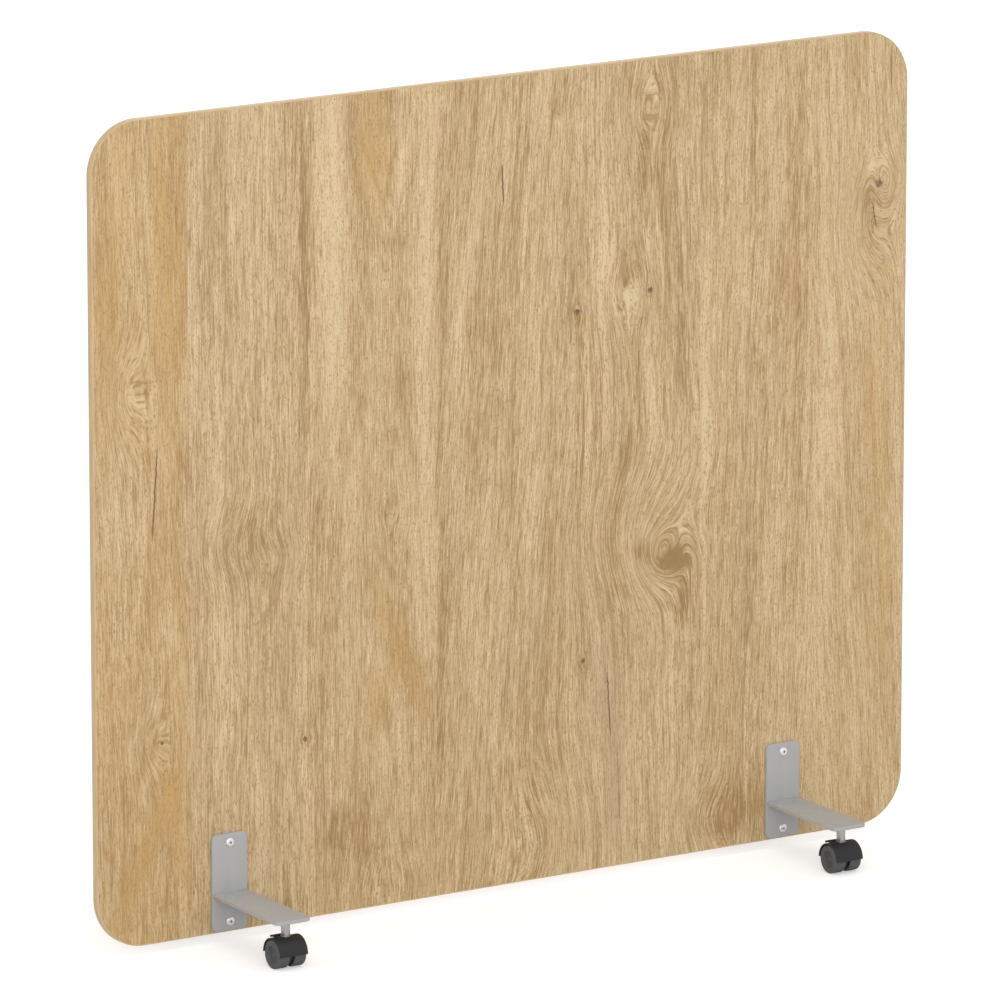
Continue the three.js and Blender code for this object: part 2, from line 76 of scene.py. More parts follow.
# Sides of the circles that the large, the usual and the small turned pieces start from.
FINE_SIDES = 144
ROUND_SIDES = 48
SMALL_SIDES = 40

# How far apart the noise of neighbouring planks lies.
SEED_STEP = 7.3

Profile = Sequence[tuple[float, float]]
Socket = bpy.types.NodeSocket
Value = Socket | float


def mm(length: float) -> float:
    """Returns a length given in millimetres in metres."""
    return length / 1000


def srgb(red: int, green: int, blue: int) -> tuple[float, float, float, float]:
    """Turns a colour as it is seen on a screen into the shader's linear values.

    Args:
        red: Red, 0 to 255.
        green: Green, 0 to 255.
        blue: Blue, 0 to 255.

    Returns:
        The linear colour with full opacity.
    """

    def linear(channel: int) -> float:
        """Returns one channel as light."""
        share = channel / 255
        return share / 12.92 if share <= 0.04045 else ((share + 0.055) / 1.055) ** 2.4

    return linear(red), linear(green), linear(blue), 1.0


# ------------------------------------------------------------------------------ choices


class Face(Enum):
    """The two faces of the board, with the turn of a bracket that stands on each."""

    FRONT = 0.0
    REAR = math.pi


class Side(Enum):
    """The two ends of the board, as the sign of X."""

    LEFT = -1
    RIGHT = 1


class Axis(Enum):
    """An axis that a piece is turned about, with the matrix that lays Z along it."""

    X = "X"
    Y = "Y"
    Z = "Z"

    def from_z(self) -> Matrix:
        """Returns the turn that takes +Z to the positive axis."""
        if self is Axis.X:
            return Matrix.Rotation(math.pi / 2, 4, "Y")
        if self is Axis.Y:
            return Matrix.Rotation(-math.pi / 2, 4, "X")
        return Matrix.Identity(4)


class Cut(Enum):
    """How one solid acts on another."""

    JOIN = "UNION"
    TAKE_AWAY = "DIFFERENCE"


@dataclass(frozen=True)
class Place:
    """One of the four feet: a face of the board and an end of it."""

    face: Face
    side: Side

    @property
    def name(self) -> str:
        """Returns the name that the foot's nodes start with."""
        return f"{self.face.name.lower()}_{self.side.name.lower()}"


PLACES = tuple(Place(face, side) for face in Face for side in Side)


@dataclass(frozen=True)
class Extent:
    """The box that something fills.

    Attributes:
        low: Lowest corner.
        high: Highest corner.
    """

    low: Vector
    high: Vector

    @classmethod
    def of(cls, node: str) -> "Extent":
        """Returns the box of a CAD node at rest."""
        return cls(*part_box(node))

    @property
    def centre(self) -> Vector:
        """Returns the middle of the box."""
        return (self.low + self.high) / 2

    @property
    def size(self) -> Vector:
        """Returns the lengths of the box's sides."""
        return self.high - self.low

    def moved(self, by: Vector) -> "Extent":
        """Returns the box moved by a vector."""
        return Extent(self.low + by, self.high + by)


# ------------------------------------------------------------------------ modelling by hand


def take(piece: bpy.types.Object) -> None:
    """Makes a piece the only selected one, and the active one."""
    bpy.ops.object.select_all(action="DESELECT")
    piece.select_set(True)
    bpy.context.view_layer.objects.active = piece


@contextmanager
def editing(piece: bpy.types.Object, pick: str = "EDGE") -> Iterator[None]:
    """Opens a piece in edit mode with nothing selected, and closes it again.

    Args:
        piece: The piece to open.
        pick: What is selected there: VERT, EDGE or FACE.
    """
    take(piece)
    bpy.ops.object.mode_set(mode="EDIT")
    bpy.ops.mesh.select_mode(type=pick)
    bpy.ops.mesh.select_all(action="DESELECT")
    yield
    bpy.ops.object.mode_set(mode="OBJECT")


def pick_edges(piece: bpy.types.Object, wanted: Callable[[bmesh.types.BMEdge], bool]) -> None:
    """Selects the edges of the open piece that pass a test."""
    mesh = bmesh.from_edit_mesh(piece.data)
    for edge in mesh.edges:
        edge.select_set(wanted(edge))
    bmesh.update_edit_mesh(piece.data)


def pick_faces(piece: bpy.types.Object, wanted: Callable[[bmesh.types.BMFace], bool]) -> None:
    """Selects the faces of the open piece that pass a test."""
    mesh = bmesh.from_edit_mesh(piece.data)
    for face in mesh.faces:
        face.select_set(wanted(face))
    bmesh.update_edit_mesh(piece.data)


def edge_direction(edge: bmesh.types.BMEdge) -> Vector:
    """Returns the unit vector along an edge."""
    return (edge.verts[1].co - edge.verts[0].co).normalized()


def edge_middle(edge: bmesh.types.BMEdge) -> Vector:
    """Returns the middle of an edge."""
    return (edge.verts[0].co + edge.verts[1].co) / 2


def settle(piece: bpy.types.Object, name: str) -> bpy.types.Object:
    """Names a new piece and moves its place, turn and scale into its mesh."""
    take(piece)
    piece.name = name
    piece.data.name = name
    bpy.ops.object.transform_apply(location=True, rotation=True, scale=True)
    return piece


def put(piece: bpy.types.Object, matrix: Matrix) -> None:
    """Moves and turns a piece, with its place kept in its mesh."""
    take(piece)
    piece.matrix_world = matrix
    bpy.ops.object.transform_apply(location=True, rotation=True, scale=True)


def block(name: str, extent: Extent) -> bpy.types.Object:
    """Adds a block that fills a box."""
    bpy.ops.mesh.primitive_cube_add(size=1, location=extent.centre, scale=extent.size)
    return settle(bpy.context.object, name)


def turned(
    name: str, profile: Profile, axis: Axis, foot: Vector, sides: int = 96, ring: bool = False
) -> bpy.types.Object:
    """Turns a piece: a circle is extruded from one point of the profile to the next.

    Args:
        name: Name of the piece.
        profile: Pairs of radius and height along the axis, from one end to the other.
        axis: The axis that the piece is turned about.
        foot: The point of the axis at height 0.
        sides: Sides of the circle.
        ring: Whether the last point joins the first, as on a washer.

    Returns:
        The closed piece, with its normals outwards.
    """
    radius, height = profile[0]
    bpy.ops.mesh.primitive_circle_add(
        vertices=sides, radius=radius, location=(0, 0, height), fill_type="NOTHING"
    )
    piece = settle(bpy.context.object, name)
    with editing(piece):
        bpy.ops.mesh.select_all(action="SELECT")
        if not ring:
            bpy.ops.mesh.edge_face_add()
            pick_edges(piece, lambda edge: True)
            bpy.ops.mesh.select_mode(type="EDGE")
        for next_radius, next_height in profile[1:]:
            bpy.ops.mesh.extrude_edges_move(
                TRANSFORM_OT_translate={"value": (0, 0, next_height - height)}
            )
            scale = next_radius / radius
            bpy.ops.transform.resize(
                value=(scale, scale, 1), center_override=(0, 0, next_height)
            )
            radius, height = next_radius, next_height
        if ring:
            pick_edges(piece, lambda edge: edge.is_boundary)
            bpy.ops.mesh.bridge_edge_loops()
        else:
            bpy.ops.mesh.edge_face_add()
        bpy.ops.mesh.select_all(action="SELECT")
        bpy.ops.mesh.normals_make_consistent(inside=False)
    put(piece, Matrix.Translation(foot) @ axis.from_z())
    return piece


def tube(
    name: str, extent: Extent, inner: float, rounding: float, segments: int = 3
) -> bpy.types.Object:
    """Turns an upright tube about Z that fills a box, with rounded ends.

    Args:
        name: Name of the piece.
        extent: The box that it fills.
        inner: Radius of its bore.
        rounding: Rounding of its ends.
        segments: Steps of the rounding.

    Returns:
        The closed tube.
    """
    outer = extent.size.x / 2
    low, high = extent.low.z, extent.high.z
    profile = ((inner, low), (outer, low), (outer, high), (inner, high))
    piece = turned(name, profile, Axis.Z, Vector(), 64, ring=True)
    ease_edges(piece, rounding, segments)
    return piece


def round_corners(
    piece: bpy.types.Object, wanted: Callable[[bmesh.types.BMEdge], bool], radius: float, segments: int
) -> None:
    """Rounds the edges of a piece that pass a test, over a radius in a number of steps."""
    with editing(piece):
        pick_edges(piece, wanted)
        bpy.ops.mesh.bevel(offset=radius, segments=segments, affect="EDGES")


def combine(piece: bpy.types.Object, tool: bpy.types.Object, cut: Cut) -> None:
    """Joins a tool to a piece or takes it away from it, and removes the tool."""
    take(piece)
    boolean = piece.modifiers.new(cut.name.lower(), "BOOLEAN")
    boolean.operation = cut.value
    boolean.solver = "EXACT"
    boolean.object = tool
    boolean.material_mode = "TRANSFER"
    bpy.ops.object.modifier_apply(modifier=boolean.name)
    bpy.data.objects.remove(tool)


def ease_edges(piece: bpy.types.Object, radius: float, segments: int = 3) -> None:
    """Rounds every edge of a piece that is sharper than a soft bend.

    Args:
        piece: The piece.
        radius: Radius of the rounding.
        segments: Steps of the rounding.
    """
    take(piece)
    bevel = piece.modifiers.new("eased_edges", "BEVEL")
    bevel.width = radius
    bevel.segments = segments
    bevel.limit_method = "ANGLE"
    bevel.angle_limit = math.radians(35)
    bpy.ops.object.modifier_apply(modifier=bevel.name)


def smooth(piece: bpy.types.Object, angle: float = 32) -> None:
    """Shades a piece smooth, except over edges sharper than an angle in degrees."""
    take(piece)
    bpy.ops.object.shade_smooth_by_angle(angle=math.radians(angle))


def copied(piece: bpy.types.Object, name: str, matrix: Matrix) -> bpy.types.Object:
    """Copies a piece to another place, with a mesh of its own.

    Args:
        piece: The piece to copy.
        name: Name of the copy.
        matrix: Where the copy goes.

    Returns:
        The copy, with its place in its mesh.
    """
    take(piece)
    bpy.ops.object.duplicate(linked=False)
    copy = settle(bpy.context.object, name)
    put(copy, matrix)
    return copy


# ---------------------------------------------------------------------------- shader graphs


class Graph:
    """Adds shader nodes to one tree and links them."""

    def __init__(self, tree: bpy.types.NodeTree) -> None:
        """Works on a tree, which starts empty."""
        self.tree = tree
        self.tree.nodes.clear()

    def node(self, kind: str, **settings: object) -> bpy.types.Node:
        """Adds a node of a kind and gives it its settings."""
        made = self.tree.nodes.new(kind)
        for key, setting in settings.items():
            setattr(made, key, setting)
        return made

    def feed(self, socket: Socket, value: Value | Sequence[float]) -> None:
        """Links a socket to another one, or sets it to a value."""
        if isinstance(value, bpy.types.NodeSocket):
            self.tree.links.new(value, socket)
        else:
            socket.default_value = value

    def math(self, operation: str, *values: Value, clamp: bool = False) -> Socket:
        """Adds a Math node and returns its value."""
        made = self.node("ShaderNodeMath", operation=operation, use_clamp=clamp)
        for socket, value in zip(made.inputs, values):
            self.feed(socket, value)
        return made.outputs[0]

    def times(self, value: Value, factor: Value) -> Socket:
        """Returns the product of two values."""
        return self.math("MULTIPLY", value, factor)

    def scaled(self, value: Value, factor: Value, plus: Value) -> Socket:
        """Returns a value times a factor, plus another value."""
        return self.math("MULTIPLY_ADD", value, factor, plus)

    def total(self, *values: Value) -> Socket:
        """Returns the sum of several values."""
        result = values[0]
        for value in values[1:]:
            result = self.math("ADD", result, value)
        return result

    def vector(self, x: Value, y: Value, z: Value) -> Socket:
        """Returns a vector of three values."""
        made = self.node("ShaderNodeCombineXYZ")
        for socket, value in zip(made.inputs, (x, y, z)):
            self.feed(socket, value)
        return made.outputs[0]

    def stretched(self, x: Value, z: Value, across: float, up: float, seed: float = 0.0) -> Socket:
        """Returns a place on the board's face, scaled by its own factor across and upwards."""
        return self.vector(self.times(x, across), seed, self.times(z, up))

    def split(self, vector: Socket) -> tuple[Socket, Socket, Socket]:
        """Returns the X, Y and Z of a vector."""
        made = self.node("ShaderNodeSeparateXYZ")
        self.feed(made.inputs[0], vector)
        return made.outputs[0], made.outputs[1], made.outputs[2]

    def noise(
        self, vector: Value, scale: float = 1.0, detail: float = 2.0, roughness: float = 0.5
    ) -> Socket:
        """Returns a smooth noise with a mean of one half."""
        made = self.node("ShaderNodeTexNoise")
        self.feed(made.inputs["Vector"], vector)
        self.feed(made.inputs["Scale"], scale)
        self.feed(made.inputs["Detail"], detail)
        self.feed(made.inputs["Roughness"], roughness)
        return made.outputs["Fac"]

    def span(self, value: Value, low: Value, high: Value, to: tuple[float, float] = (0, 1)) -> Socket:
        """Maps a value smoothly from one range to another, and holds it at the ends."""
        made = self.node("ShaderNodeMapRange", interpolation_type="SMOOTHSTEP")
        for name, setting in (
            ("Value", value), ("From Min", low), ("From Max", high), ("To Min", to[0]), ("To Max", to[1]),
        ):
            self.feed(made.inputs[name], setting)
        return made.outputs["Result"]

    def blend(self, share: Value, first: object, second: object, how: str = "MIX") -> Socket:
        """Mixes two colours and returns the result."""
        made = self.node("ShaderNodeMix", data_type="RGBA", blend_type=how)
        for socket, value in zip((made.inputs[0], made.inputs[6], made.inputs[7]), (share, first, second)):
            self.feed(socket, value)
        return made.outputs[2]

    def ramp(self, value: Value, stops: Iterable[tuple[float, tuple]]) -> Socket:
        """Returns the colour of a ramp, given as pairs of place and colour."""
        made = self.node("ShaderNodeValToRGB")
        elements = made.color_ramp.elements
        for index, (place, colour) in enumerate(stops):
            element = elements[index] if index < 2 else elements.new(place)
            element.position = place
            element.color = colour
        self.feed(made.inputs[0], value)
        return made.outputs[0]

    def group(self, tree: bpy.types.NodeTree, **values: object) -> bpy.types.Node:
        """Places a node group, with its inputs given by name."""
        made = self.node("ShaderNodeGroup", node_tree=tree)
        for name, value in values.items():
            self.feed(made.inputs[name], value)
        return made

    def coordinates(self) -> Socket:
        """Returns the object's own coordinates, in metres."""
        return self.node("ShaderNodeTexCoord").outputs["Object"]

    def bump(self, height: Socket, distance: float, strength: float = 1.0) -> Socket:
        """Returns a normal that follows a height of 0 to 1 over a distance in metres."""
        made = self.node("ShaderNodeBump")
        self.feed(made.inputs["Strength"], strength)
        self.feed(made.inputs["Distance"], distance)
        self.feed(made.inputs["Height"], height)
        return made.outputs["Normal"]


def new_group(
    name: str, inputs: dict[str, tuple[str, float]], outputs: dict[str, str]
) -> tuple[bpy.types.NodeTree, Graph, bpy.types.Node, bpy.types.Node]:
    """Makes a shader node group with named sockets.

    Args:
        name: Name of the group.
        inputs: Socket type and default of each input, by name.
        outputs: Socket type of each output, by name.

    Returns:
        The tree, its graph, and its input and output nodes.
    """
    tree = bpy.data.node_groups.new(name, "ShaderNodeTree")
    for socket_name, (kind, default) in inputs.items():
        made = tree.interface.new_socket(socket_name, in_out="INPUT", socket_type=kind)
        if kind == "NodeSocketFloat":
            made.default_value = default
    for socket_name, kind in outputs.items():
        tree.interface.new_socket(socket_name, in_out="OUTPUT", socket_type=kind)
    graph = Graph(tree)
    return tree, graph, graph.node("NodeGroupInput"), graph.node("NodeGroupOutput")


VECTOR = "NodeSocketVector"
FLOAT = "NodeSocketFloat"


def wear_group() -> bpy.types.NodeTree:
    """Makes the group that finds worn outer edges, faint scuffs, and hollow creases where shade is painted.

    Returns:
        A group that puts out masks of rubbed Edges, of Creases for painted shade, of Scuffs, and a fine
        Grain.
    """
    tree, graph, entry, leave = new_group(
        "worn_surface",
        {"Vector": (VECTOR, 0), "Grain Size": (FLOAT, mm(0.5)), "Scuff Size": (FLOAT, mm(20))},
        {"Edge": FLOAT, "Crease": FLOAT, "Scuff": FLOAT, "Grain": FLOAT},
    )
    vector = entry.outputs["Vector"]
    broken = graph.noise(vector, 200.0, 3)
    pointed = graph.node("ShaderNodeNewGeometry").outputs["Pointiness"]
    rim = graph.span(pointed, 0.52, 0.6)
    graph.feed(leave.inputs["Edge"], graph.times(rim, graph.span(broken, 0.35, 0.65)))
    # Concave places get a mask that darkens the colour: painted shade in creases and recesses.
    graph.feed(leave.inputs["Crease"], graph.span(pointed, 0.41, 0.485, (1, 0)))
    scuff_scale = graph.math("DIVIDE", 1.0, entry.outputs["Scuff Size"])
    scuff = graph.noise(vector, scuff_scale, 4, 0.7)
    graph.feed(leave.inputs["Scuff"], graph.span(scuff, 0.5, 0.75))
    grain_scale = graph.math("DIVIDE", 1.0, entry.outputs["Grain Size"])
    graph.feed(leave.inputs["Grain"], graph.noise(vector, grain_scale, 2, 0.6))
    return tree


def fibre_group() -> bpy.types.NodeTree:
    """Makes the group that draws wood from growth rings and fibres.

    Grain is the place across the fibres, Ring the place across the growth rings and Along the
    place along the fibres, all in metres. Seed keeps planks apart.

    Returns:
        A group that puts out Columns, Rings, Streaks, Lines, Fibres and Pores, each from 0 to 1.
    """
    tree, graph, entry, leave = new_group(
        "oak_fibres",
        {"Grain": (FLOAT, 0), "Ring": (FLOAT, 0), "Along": (FLOAT, 0), "Seed": (FLOAT, 0)},
        {"Columns": FLOAT, "Rings": FLOAT, "Streaks": FLOAT, "Lines": FLOAT, "Fibres": FLOAT,
         "Pores": FLOAT},
    )
    along = entry.outputs["Along"]
    seed = entry.outputs["Seed"]

    def layer(
        across: Socket, width: float, length: float, detail: float, roughness: float = 0.5
    ) -> Socket:
        """Returns a noise of streaks of a width and a length."""
        place = graph.vector(
            graph.math("DIVIDE", across, width), seed, graph.math("DIVIDE", along, length)
        )
        return graph.noise(place, 1.0, detail, roughness)

    grain = entry.outputs["Grain"]
    fibres = layer(grain, mm(1.4), mm(28), 3, 0.55)
    jagged = graph.scaled(graph.math("SUBTRACT", fibres, 0.5), mm(9), entry.outputs["Ring"])
    rings = layer(jagged, mm(9), mm(420), 2, 0.6)
    graph.feed(leave.inputs["Columns"], layer(grain, mm(46), mm(520), 2, 0.6))
    graph.feed(leave.inputs["Rings"], rings)
    graph.feed(leave.inputs["Streaks"], layer(grain, mm(7), mm(70), 3, 0.6))
    graph.feed(leave.inputs["Lines"], layer(grain, mm(3), mm(170), 1))
    graph.feed(leave.inputs["Fibres"], fibres)
    graph.feed(leave.inputs["Pores"], graph.span(layer(grain, mm(1.3), mm(6), 1), 0.55, 0.7))
    return tree


# ----------------------------------------------------------------------- the oak decor


class InMillimetres:
    """A detail of the decor that is written in millimetres and kept in metres.

    Attributes:
        LENGTHS: Names of the fields that are lengths.
    """

    LENGTHS: ClassVar[tuple[str, ...]] = ("x", "z")

    def __post_init__(self) -> None:
        """Turns the lengths into metres."""
        for name in self.LENGTHS:
            object.__setattr__(self, name, mm(getattr(self, name)))


@dataclass(frozen=True)
class Heart(InMillimetres):
    """A centre that a plank's arched grain lines close round.

    Attributes:
        x: Place across the board.
        z: Height above the floor.
        slope: How fast the growth rings rise with height; small gives long pointed arches.
    """

    x: float
    z: float
    slope: float


@dataclass(frozen=True)
class Plank(InMillimetres):
    """One printed plank of the decor.

    Attributes:
        left: Where its left side lies.
        tone: Lighter above 0, darker below.
        warmth: Golden above 0, greyish below.
        lean: How far its grain leans to the right over a metre of height.
        hearts: Centres of its arched figure.
    """

    LENGTHS = ("left",)
    left: float
    tone: float = 0.0
    warmth: float = 0.0
    lean: float = 0.0
    hearts: tuple[Heart, ...] = ()


@dataclass(frozen=True)
class Knot(InMillimetres):
    """A knot that the grain parts round.

    Attributes:
        x: Place across the board.
        z: Height above the floor.
        width: Half width of the disturbed grain.
        height: Half height of the disturbed grain.
        part: How far the grain parts to both sides.
        sweep: How far all of the grain is swept to one side.
        eye: Radius of the dark eye.
        shade: How dark the wood is round the eye.
    """

    LENGTHS = ("x", "z", "width", "height", "part", "sweep", "eye")
    x: float
    z: float
    width: float
    height: float
    part: float
    sweep: float = 0.0
    eye: float = 0.0
    shade: float = 0.3


@dataclass(frozen=True)
class Patch(InMillimetres):
    """A stretch of wood that is lighter, darker or more golden than its plank.

    Attributes:
        x: Place across the board.
        z: Height above the floor.
        width: Half width.
        height: Half height.
        tone: Lighter above 0, darker below.
        warmth: Golden above 0, greyish below.
        lean: How far its top leans to the right, as a share of its height.
    """

    LENGTHS = ("x", "z", "width", "height")
    x: float
    z: float
    width: float
    height: float
    tone: float
    warmth: float = 0.0
    lean: float = 0.0


@dataclass(frozen=True)
class Check(InMillimetres):
    """A fine dark crack along the grain.

    Attributes:
        x: Place of its middle across the board.
        z: Height of its middle.
        length: Its length.
        lean: How far its top leans to the right, as a share of its length.
        width: Its width.
        depth: How dark it is.
    """

    LENGTHS = ("x", "z", "length", "width")
    x: float
    z: float
    length: float
    lean: float = 0.0
    width: float = 1.6
    depth: float = 0.8


@dataclass(frozen=True)
class OakDecor:
    """The oak decor of the laminates: planks side by side, with knots and checks.

    Attributes:
        planks: The planks from left to right.
        knots: Its knots and eyes.
        patches: Its lighter, darker and golden stretches.
        checks: Its fine cracks.
        wander: How far the grain wanders aside.
        wobble: How far a crack wobbles aside.
        light: The lightest wood.
        middle: Plain wood.
        dark: The darkest wood.
        golden: Wood of a golden plank.
        greyish: Wood of a greyish plank.
        eye: The middle of a knot.
    """

    planks: tuple[Plank, ...] = (
        Plank(-690, 0.0, 0.5, 0.02, (Heart(-557, 1290, 0.1), Heart(-560, -60, 0.1))),
        Plank(-523, 0.03, -0.3, -0.01),
        Plank(-323, 0.0, 0.05, 0.0, (Heart(-205, 1330, 0.16), Heart(-212, 100, 0.13))),
        Plank(-121, 0.03, -0.1, -0.07),
        Plank(109, 0.06, -0.2, 0.02),
        Plank(321, 0.05, -0.05, -0.03),
        Plank(517, 0.07, 0.05, 0.05),
    )
    knots: tuple[Knot, ...] = (
        Knot(627, 962, 30, 40, 44, -16, 6.5, 0.15),
        Knot(606, 900, 40, 70, 0.0, 40, 0.0, 0.08),
        Knot(198, 852, 38, 52, 35, 0.0, 0.0, 0.0),
        Knot(236, 850, 11, 14, 13, 0.0, 4.5, 0.2),
        Knot(274, 458, 46, 44, 66, 20, 0.0, 0.1),
        Knot(235, 500, 90, 80, 0.0, 50, 0.0, 0.0),
        Knot(113, 832, 12, 18, 14, 0.0, 5, 0.3),
        Knot(238, 1118, 34, 60, 44, 0.0, 0.0, 0.0),
        Knot(124, 324, 10, 14, 12, 0.0, 3.4, 0.2),
        Knot(-195, 588, 30, 40, 20, 0.0, 0.0, 0.05),
        Knot(-569, 300, 34, 50, 36, 14, 2.8, 0.05),
        Knot(-610, 800, 40, 70, 34, 26, 0.0, 0.0),
        Knot(-440, 570, 66, 48, 12, 14, 0.0, 0.06),
        Knot(-390, 540, 44, 30, 12, -10, 0.0, 0.0),
        Knot(-338, 274, 16, 7, 8, 0.0, 4, 0.2),
        Knot(357, 62, 60, 60, 40, 20, 0.0, 0.0),
        Knot(-205, 30, 60, 60, 40, 0.0, 0.0, 0.0),
        Knot(75, 50, 70, 120, 0.0, -46, 0.0, 0.0),
    )
    patches: tuple[Patch, ...] = (
        Patch(-296, 965, 30, 260, 0.36),
        Patch(-141, 840, 18, 360, 0.32, -0.1),
        Patch(-219, 1100, 28, 80, -0.1, 1.0),
        Patch(-175, 368, 24, 90, -0.28, 1.0, -0.45),
        Patch(-216, 310, 20, 50, -0.2, 1.0),
        Patch(-277, 136, 44, 44, -0.3, -0.1),
        Patch(-337, 1010, 14, 220, -0.26, 0.4),
        Patch(-556, 1000, 26, 190, -0.08, 0.8),
        Patch(-655, 930, 20, 110, -0.12, 0.7),
        Patch(-577, 840, 9, 44, -0.22),
        Patch(-553, 222, 22, 34, -0.2, 0.9),
        Patch(-598, 140, 18, 90, -0.2, 0.8, 0.5),
        Patch(-540, 140, 12, 90, -0.16, 0.8, -0.2),
        Patch(-650, 360, 50, 20, 0.12, 0.2),
        Patch(-420, 560, 100, 50, -0.1, -0.1),
        Patch(-518, 480, 8, 80, -0.14, -0.2),
        Patch(204, 878, 17, 20, -0.5, 0.6),
        Patch(198, 842, 22, 38, 0.3),
        Patch(206, 1145, 15, 24, -0.18, 0.4),
        Patch(305, 1157, 14, 12, -0.2, -0.5),
        Patch(277, 454, 22, 18, -0.8, 0.3),
        Patch(297, 394, 14, 38, -0.32, 0.3, 0.15),
        Patch(220, 472, 13, 15, -0.3, 0.4, -0.4),
        Patch(609, 924, 11, 32, -0.3, -0.7, -0.2),
        Patch(612, 996, 7, 17, 0.25),
        Patch(637, 1006, 9, 18, 0.25),
        Patch(175, 190, 30, 190, -0.08, -0.9, -0.1),
        Patch(380, 66, 50, 40, -0.3, 0.3),
        Patch(-355, 40, 30, 30, -0.18, 0.2),
        Patch(331, 640, 8, 500, 0.2),
        Patch(486, 830, 7, 330, -0.2),
        Patch(532, 640, 16, 500, 0.16),
        Patch(640, 290, 30, 260, 0.02, 0.5),
        Patch(-112, 640, 7, 460, -0.14),
        Patch(40, 700, 16, 420, 0.1),
        Patch(119, 700, 7, 420, -0.12),
        Patch(252, 912, 6, 60, 0.35, 0.0, -0.12),
        Patch(-194, 1070, 4, 50, -0.35, 0.3, 0.25),
        Patch(-222, 1065, 4, 50, -0.3, 0.3, -0.35),
        Patch(-178, 1060, 5, 60, 0.25, 0.0, 0.2),
        Patch(241, 700, 5, 55, 0.35, 0.0, -0.1),
        Patch(160, 930, 16, 150, 0.2),
        Patch(222, 1040, 12, 60, -0.3, 0.3),
        Patch(470, 870, 10, 220, -0.12, 0.5),
        Patch(290, 790, 8, 120, -0.2, 0.1),
        Patch(620, 640, 36, 160, 0.0, 0.6),
        Patch(545, 740, 22, 170, 0.15, 0.1),
    )
    checks: tuple[Check, ...] = (
        Check(-11, 1030, 75, -0.05, 2.2, 0.95),
        Check(-6, 880, 80, 0.0, 1.4, 0.5),
        Check(-578, 655, 170, 0.07, 2.0, 0.95),
        Check(168, 255, 120, -0.06, 2.0, 0.9),
        Check(185, 130, 130, -0.05, 1.4, 0.5),
        Check(619, 917, 52, -0.2, 1.8, 0.8),
        Check(647, 1130, 80, 0.0, 1.6, 0.7),
        Check(-345, 720, 40, 0.0, 1.6, 0.6),
        Check(-163, 1162, 50, 0.05, 1.4, 0.5),
        Check(-500, 978, 90, -0.04, 1.3, 0.45),
        Check(-541, 1042, 45, 0.0, 1.4, 0.5),
    )
    wander: float = mm(11)
    wobble: float = mm(5)
    light: tuple = srgb(225, 201, 161)
    middle: tuple = srgb(200, 171, 129)
    dark: tuple = srgb(161, 128, 84)
    golden: tuple = srgb(203, 164, 108)
    greyish: tuple = srgb(196, 174, 139)
    eye: tuple = srgb(104, 76, 50)

    def flow_group(self) -> bpy.types.NodeTree:
        """Makes the group that says how the grain flows over the board.

        Returns:
            A group with the places across the grain and the rings, the plank's seed, the tone
            and warmth of the wood, and the masks of eyes and checks.
        """
        tree, graph, entry, leave = new_group(
            "oak_flow",
            {"Vector": (VECTOR, 0)},
            {"Grain": FLOAT, "Ring": FLOAT, "Along": FLOAT, "Seed": FLOAT, "Tone": FLOAT,
             "Warmth": FLOAT, "Eye": FLOAT, "Check": FLOAT},
        )
        x, _, z = graph.split(entry.outputs["Vector"])
        flow = self._plank_flow(graph, x, z)
        moved = (self._deflection(graph, x, z, knot) for knot in self.knots)
        aside = graph.total(self._wander(graph, x, z), *moved)
        flow["Grain"] = graph.math("ADD", flow["Grain"], aside)
        flow["Ring"] = graph.math("ADD", flow["Ring"], aside)
        ragged = graph.noise(graph.stretched(x, z, 130.0, 45.0), 1.0, 3, 0.6)
        broken = graph.scaled(ragged, 2.4, -1.2)
        for spot in (*self.knots, *self.patches):
            near = self._nearness(graph, x, z, spot, broken)
            tone = -spot.shade if isinstance(spot, Knot) else spot.tone
            flow["Tone"] = graph.scaled(near, tone, flow["Tone"])
            if isinstance(spot, Patch) and spot.warmth:
                flow["Warmth"] = graph.scaled(near, spot.warmth, flow["Warmth"])
        for name, value in flow.items():
            graph.feed(leave.inputs[name], value)
        graph.feed(leave.inputs["Along"], z)
        graph.feed(leave.inputs["Eye"], self._eyes(graph, x, z))
        graph.feed(leave.inputs["Check"], self._checks(graph, x, z))
        return tree

    def _wander(self, graph: Graph, x: Socket, z: Socket) -> Socket:
        """Returns how far the grain wanders aside, from place to place."""
        place = graph.stretched(x, z, 8.0, 2.4)
        broad = graph.scaled(graph.noise(place, 1.0, 1), self.wander * 2, -self.wander)
        finer = graph.stretched(x, z, 30.0, 12.0, 3.0)
        ripple = graph.scaled(graph.noise(finer, 1.0, 2), self.wander / 4, -self.wander / 8)
        return graph.math("ADD", broad, ripple)

    def _plank_flow(self, graph: Graph, x: Socket, z: Socket) -> dict[str, Value]:
        """Returns the grain, rings, seed, tone and warmth, plank by plank."""
        flow: dict[str, Value] = {"Grain": x, "Ring": 0.0, "Seed": 0.0, "Tone": 0.0, "Warmth": 0.0}
        last = Plank(0)
        for plank in self.planks:
            inside = graph.math("GREATER_THAN", x, plank.left)
            rings = self._ring_distance(graph, x, z, plank)
            nearer = graph.math("SUBTRACT", rings, flow["Ring"])
            flow["Ring"] = graph.scaled(inside, nearer, flow["Ring"])
            leaning = graph.times(z, plank.lean - last.lean)
            flow["Grain"] = graph.scaled(inside, leaning, flow["Grain"])
            steps = {
                "Seed": SEED_STEP,
                "Tone": plank.tone - last.tone,
                "Warmth": plank.warmth - last.warmth,
            }
            for name, step in steps.items():
                flow[name] = graph.scaled(inside, step, flow[name])
            last = plank
        return flow

